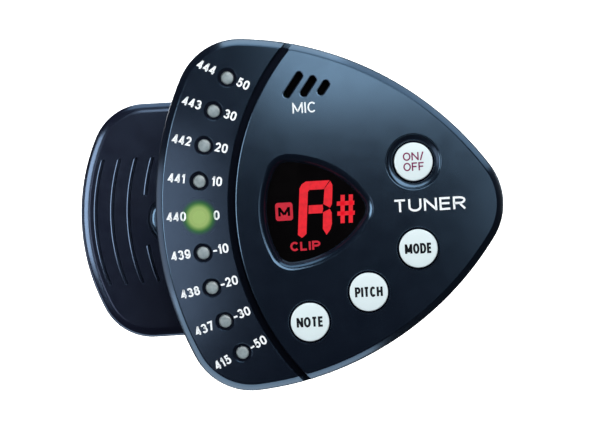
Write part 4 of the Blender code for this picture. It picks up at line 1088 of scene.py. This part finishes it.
def lug(at_y, pin, rise):
    """A pin lug, round about the pin, whose flanks spread a little as they rise to the lever."""
    wide = LUG_R + LUG_SPREAD
    outline = arc((0, 0), LUG_R, pi, tau, 28) + [(wide, abs(rise)), (-wide, abs(rise))]
    if rise < 0:
        outline = [(-x, -z) for x, z in outline]
    return side_plate("lug", outline, (pin.x, at_y, pin.z), LUG_T)


def grip_spans():
    reach, clear = asin(GRIP_HALF_LENGTH / GRIP_R), asin(GRIP_CLEAR / GRIP_R)
    for i in range(GRIP_COUNT):
        mid_x = GRIP_FIRST_X + i * GRIP_PITCH
        spans = [(-reach, -clear), (clear, reach)] if i == GRIP_COUNT - 1 else [(-reach, reach)]
        for start, end in spans:
            yield mid_x, start, end


def grip_lines(section, surface, outward):
    """One piece for each grip line, through a section of (height, left edge, right edge) steps."""
    pieces = []
    for mid_x, start, end in grip_spans():
        levels = []
        for height, left, right in section:
            outline = bowed_slot(mid_x + (left + right) / 2, start, end, (right - left) / 2)
            levels.append((outline, surface + outward * height))
        pieces.append(loft("grip_line", levels if outward > 0 else levels[::-1]))
    return pieces


def lever(name, stretch, inner, outer):
    """A lever's plate, rounded a little on its inner side and broadly on its outer side."""
    side = copysign(1, outer - inner)
    levels = [(lever_outline(stretch, -inset), inner + side * depth) for depth, inset in LEVER_INNER_EDGE]
    levels += [(lever_outline(stretch, -inset), outer - side * depth) for depth, inset in LEVER_OUTER_EDGE]
    return loft(name, levels if outer > inner else levels[::-1])


def front_jaw():
    outer = top_of("front_jaw")
    inner = outer - LEVER_T
    pin = bench_middle("hinge_pin")
    jaw = lever("front_lever", 1.0, inner, outer)
    lugs = [lug(y, pin, inner + 0.5 - pin.z) for y in (FRONT_LUG_Y, -FRONT_LUG_Y)]
    combine(jaw, lugs + grip_lines(GRIP_LIP, outer, 1), "UNION")
    at = bench_middle("swivel_arm")
    base = bottom_of("swivel_arm") - GAP
    tools = [disc("well", 4.9, base, outer + OVERCUT, at), disc("way", 1.4, 0, outer, at, 40)]
    combine(jaw, tools + [bore(CLIP_BORE_R, 15, pin, 40)] + grip_lines(GRIP_SLOT, outer, 1))
    finish(jaw, "clip_front", NAVY_CLIP, "navy_clip", ["front_jaw"], 20, level=True)


def rear_face(x):
    """The height of the rear jaw's inner face, which slopes away from its tip."""
    return REAR_TIP_Z - (JAW_TIP - x) * tan(REAR_SLOPE)


def rear_tilt(lift=0.0):
    """Turns what is drawn flat so that it lies along the rear jaw's inner face."""
    return Matrix.Translation((0, 0, rear_face(0) + lift)) @ Matrix.Rotation(-REAR_SLOPE, 4, "Y")


def rear_jaw():
    pin = bench_middle("hinge_pin")
    jaw = lever("rear_lever", 1 / cos(REAR_SLOPE), 0, -LEVER_T)
    combine(jaw, grip_lines(GRIP_LIP, -LEVER_T, -1), "UNION")
    combine(jaw, grip_lines(GRIP_SLOT, -LEVER_T, -1))
    jaw.data.transform(rear_tilt())
    rise = rear_face(pin.x) - pin.z - 1.0
    combine(jaw, [lug(y, pin, rise) for y in (REAR_LUG_Y, -REAR_LUG_Y)], "UNION")
    combine(jaw, [bore(CLIP_BORE_R, 15, pin, 40)])
    finish(jaw, "clip_rear", NAVY_CLIP, "navy_clip", ["rear_jaw"], 20, level=True)


def ribbed_pad(name, body, face, inward, tilt):
    """A rubber pad with gaps cut across its gripping face."""
    pad = round_edges(plate(f"{name}_ribbed", rounded_box(22, 20, 2), 0, PAD_T), 0.35, 3)
    mouth = (rounded_box(1.2, 17.4, 0.5, 3), face - inward * 0.1)
    low = (rounded_box(0.7, 17, 0.3, 3), face + inward * 0.3)
    levels = [mouth, low] if inward > 0 else [low, mouth]
    combine(pad, [moved(loft("rib_gap", levels), (i * 2.1, 0)) for i in range(-4, 5)])
    pad.data.transform(tilt)
    finish(pad, body, RUBBER, "rubber", [name])


def tube(name, points, radius):
    """A round wire along points that never head along Y."""
    rings = []
    for i, point in enumerate(points):
        ahead = points[min(i + 1, len(points) - 1)] - points[max(i - 1, 0)]
        side = ahead.cross((0, 1, 0)).normalized()
        up = side.cross(ahead).normalized()
        rings.append([point + x * side + y * up for x, y in circle((0, 0), radius, 12)])
    return skin(name, rings, True)


def clip_spring():
    """A torsion spring round the pin, with one leg on each lever."""
    pin = bench_middle("hinge_pin")
    half = SPRING_TURNS * SPRING_PITCH / 2
    sweep = SPRING_TURNS * tau + pi + REAR_SLOPE
    steps = SPRING_TURNS * 40
    leg_z = top_of("front_jaw") - LEVER_T - SPRING_WIRE_R - 0.2
    points = [Vector((pin.x - back, -half, leg_z)) for back in (SPRING_LEG, 4)]
    for i, (x, z) in enumerate(arc((pin.x, pin.z), SPRING_R, pi / 2, pi / 2 - sweep, steps)):
        points.append(Vector((x, -half + 2 * half * i / steps, z)))
    for x in (pin.x - 4, pin.x - SPRING_LEG):
        points.append(Vector((x, half, rear_face(x) + SPRING_WIRE_R + 0.3)))
    spring = tube("torsion_spring_wound", points, SPRING_WIRE_R)
    dress(spring, STEEL, None)
    spring.data.shade_smooth()
    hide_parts("clip_spring")
    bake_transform(spring)


def dress_cad_nodes():
    """The CAD nodes that keep their own shape get the finished materials."""
    by_slot = {"steel": STEEL, "brass": BRASS, "black_plastic": BLACK, "rubber": RUBBER, "board": BOARD,
               "ceramic": CERAMIC, "wire_red": WIRE_RED}
    for entry in frame["record"]["subparts"]:
        material = by_slot.get(entry["material_slot"])
        obj = frame["nodes"][entry["node"]]
        if material and not obj.hide_render:
            for slot in obj.material_slots:
                slot.material = material


# ---- stage, light and camera, in metres


def seen_or_not(tree, seen, unseen):
    """Mixes two shaders: one for what the camera sees directly, and one for what the tuner reflects."""
    path = add_node(tree, "ShaderNodeLightPath", {})
    shaders = {0: path.outputs["Is Camera Ray"], 1: unseen, 2: seen}
    return add_node(tree, "ShaderNodeMixShader", shaders).outputs[0]


def backdrop():
    """A pale round floor that sweeps up into a wall all round, well away from the tuner."""
    floor_z, wall_r, bend, wall_top = -1.0, 1.8, 0.7, 3.0
    sweep = arc((wall_r - bend, floor_z + bend), bend, -pi / 2, 0, 16)
    floor = lathe("floor", [(0, floor_z)] + sweep + [(wall_r, wall_top)])
    pale, tree, shader = new_material("pale_floor", (0.9, 0.9, 0.9), 0.9)
    tone = mix_colour(tree, noise(tree, 120), (0.90, 0.90, 0.90), (0.93, 0.93, 0.93))
    feed(shader, {"Base Color": tone, "Emission Color": WHITE, "Emission Strength": 0.70})
    grey = add_node(tree, "ShaderNodeBsdfDiffuse", {"Color": (0.05, 0.05, 0.05)})
    feed(tree.nodes["Material Output"], {"Surface": seen_or_not(tree, shader.outputs[0], grey.outputs[0])})
    floor.data.materials.append(pale)
    floor.data.shade_smooth()


def light_card(name, place, size, power, colour):
    """A rectangle of light that the camera doesn't see."""
    light = bpy.data.lights.new(name, "AREA")
    light.shape = "RECTANGLE"
    light.size, light.size_y = size
    light.energy = power
    light.color = colour
    obj = new_object(name, light)
    obj.matrix_world = place
    obj.visible_camera = False


def aimed(at, target=(0, -0.02, 0)):
    turn = (Vector(target) - Vector(at)).to_track_quat("-Z", "Y").to_matrix().to_4x4()
    return Matrix.Translation(at) @ turn


def beyond_rim(angle, distance, y):
    """A place square to the face's plane, beyond the rim in one direction, that only the rim reflects."""
    outward = Vector((cos(radians(angle)), 0, sin(radians(angle))))
    along = Vector((-outward.z, 0, outward.x))
    turn = Matrix((along, outward.cross(along), outward)).transposed().to_4x4()
    return Matrix.Translation(outward * distance + Vector((0, y, 0))) @ turn


def lights():
    """A soft box above the camera, dimmer ones beside it, cards for the rim, and a set behind the tuner."""
    pale_blue = (0.80, 0.92, 1.0)
    for name, place, size, power, colour in (
        ("top_softbox", aimed((0.20, -0.655, 0.285)), (0.54, 0.36), 3.9, WHITE),
        ("right_softbox", aimed((0.27, -0.62, 0.07)), (0.20, 0.26), 0.28, WHITE),
        ("left_softbox", aimed((-0.26, -0.66, -0.03)), (0.12, 0.28), 0.31, (1.0, 0.86, 0.90)),
        ("left_strip", aimed((-0.53, -0.44, 0.07)), (0.32, 0.37), 3.2, WHITE),
        ("over_card", beyond_rim(88, 0.48, 0.07), (0.34, 0.24), 1.0, pale_blue),
        ("upper_front_card", beyond_rim(80, 0.45, -0.25), (0.54, 0.26), 1.3, pale_blue),
        ("upper_right_card", beyond_rim(50, 0.48, 0.07), (0.36, 0.24), 0.62, (0.66, 0.84, 1.0)),
        ("left_card", beyond_rim(184, 0.48, 0.07), (0.26, 0.24), 0.30, (0.85, 0.88, 1.0)),
        ("under_card", beyond_rim(246, 0.30, 0.05), (0.72, 0.16), 1.0, (0.82, 0.92, 1.0)),
        ("back_softbox", aimed((-0.24, 0.72, 0.34)), (0.54, 0.36), 5.0, WHITE),
        ("back_low_softbox", aimed((0.30, 0.70, -0.05)), (0.24, 0.30), 0.9, WHITE),
        ("back_strip", aimed((0.62, 0.42, 0.10)), (0.20, 0.40), 1.6, WHITE),
        ("back_wall_light", aimed((0, 1.0, 0.9), (0, 1.8, 0.1)), (1.6, 0.6), 45.0, WHITE),
    ):
        light_card(name, place, size, power, colour)
    world = bpy.data.worlds.new("studio")
    bpy.context.scene.world = world
    world.use_nodes = True
    tree = world.node_tree
    dim = tree.nodes["Background"]
    feed(dim, {"Color": (0.9, 0.95, 1.0), "Strength": 0.04})
    white = add_node(tree, "ShaderNodeBackground", {"Color": WHITE})
    feed(tree.nodes["World Output"], {"Surface": seen_or_not(tree, white.outputs[0], dim.outputs[0])})


def camera():
    data = bpy.data.cameras.new("camera")
    data.sensor_width = SENSOR
    data.lens = SENSOR * CAMERA_BACK / VIEW_WIDTH
    obj = new_object("camera", data)
    obj.location = AIM + Vector((0, -CAMERA_BACK, 0))
    obj.rotation_euler = (Matrix.Rotation(CAMERA_ROLL, 4, "Y") @ Matrix.Rotation(pi / 2, 4, "X")).to_euler()
    bpy.context.scene.camera = obj


camera()
lights()
backdrop()
bpy.context.scene.view_settings.view_transform = "Standard"

front_cover()
meter_cover()
meter_lamps()
painted_gap_shade()
lamp_glow()
meter_numbers()
face_print()
display()
keys()
rear_cover()
battery_door()
screws_and_pins()
swivel_arm()
front_jaw()
rear_jaw()
ribbed_pad("front_pad", "clip_front", 0, 1, Matrix.Identity(4))
ribbed_pad("rear_pad", "clip_rear", PAD_T, -1, rear_tilt(GAP))
clip_spring()
dress_cad_nodes()
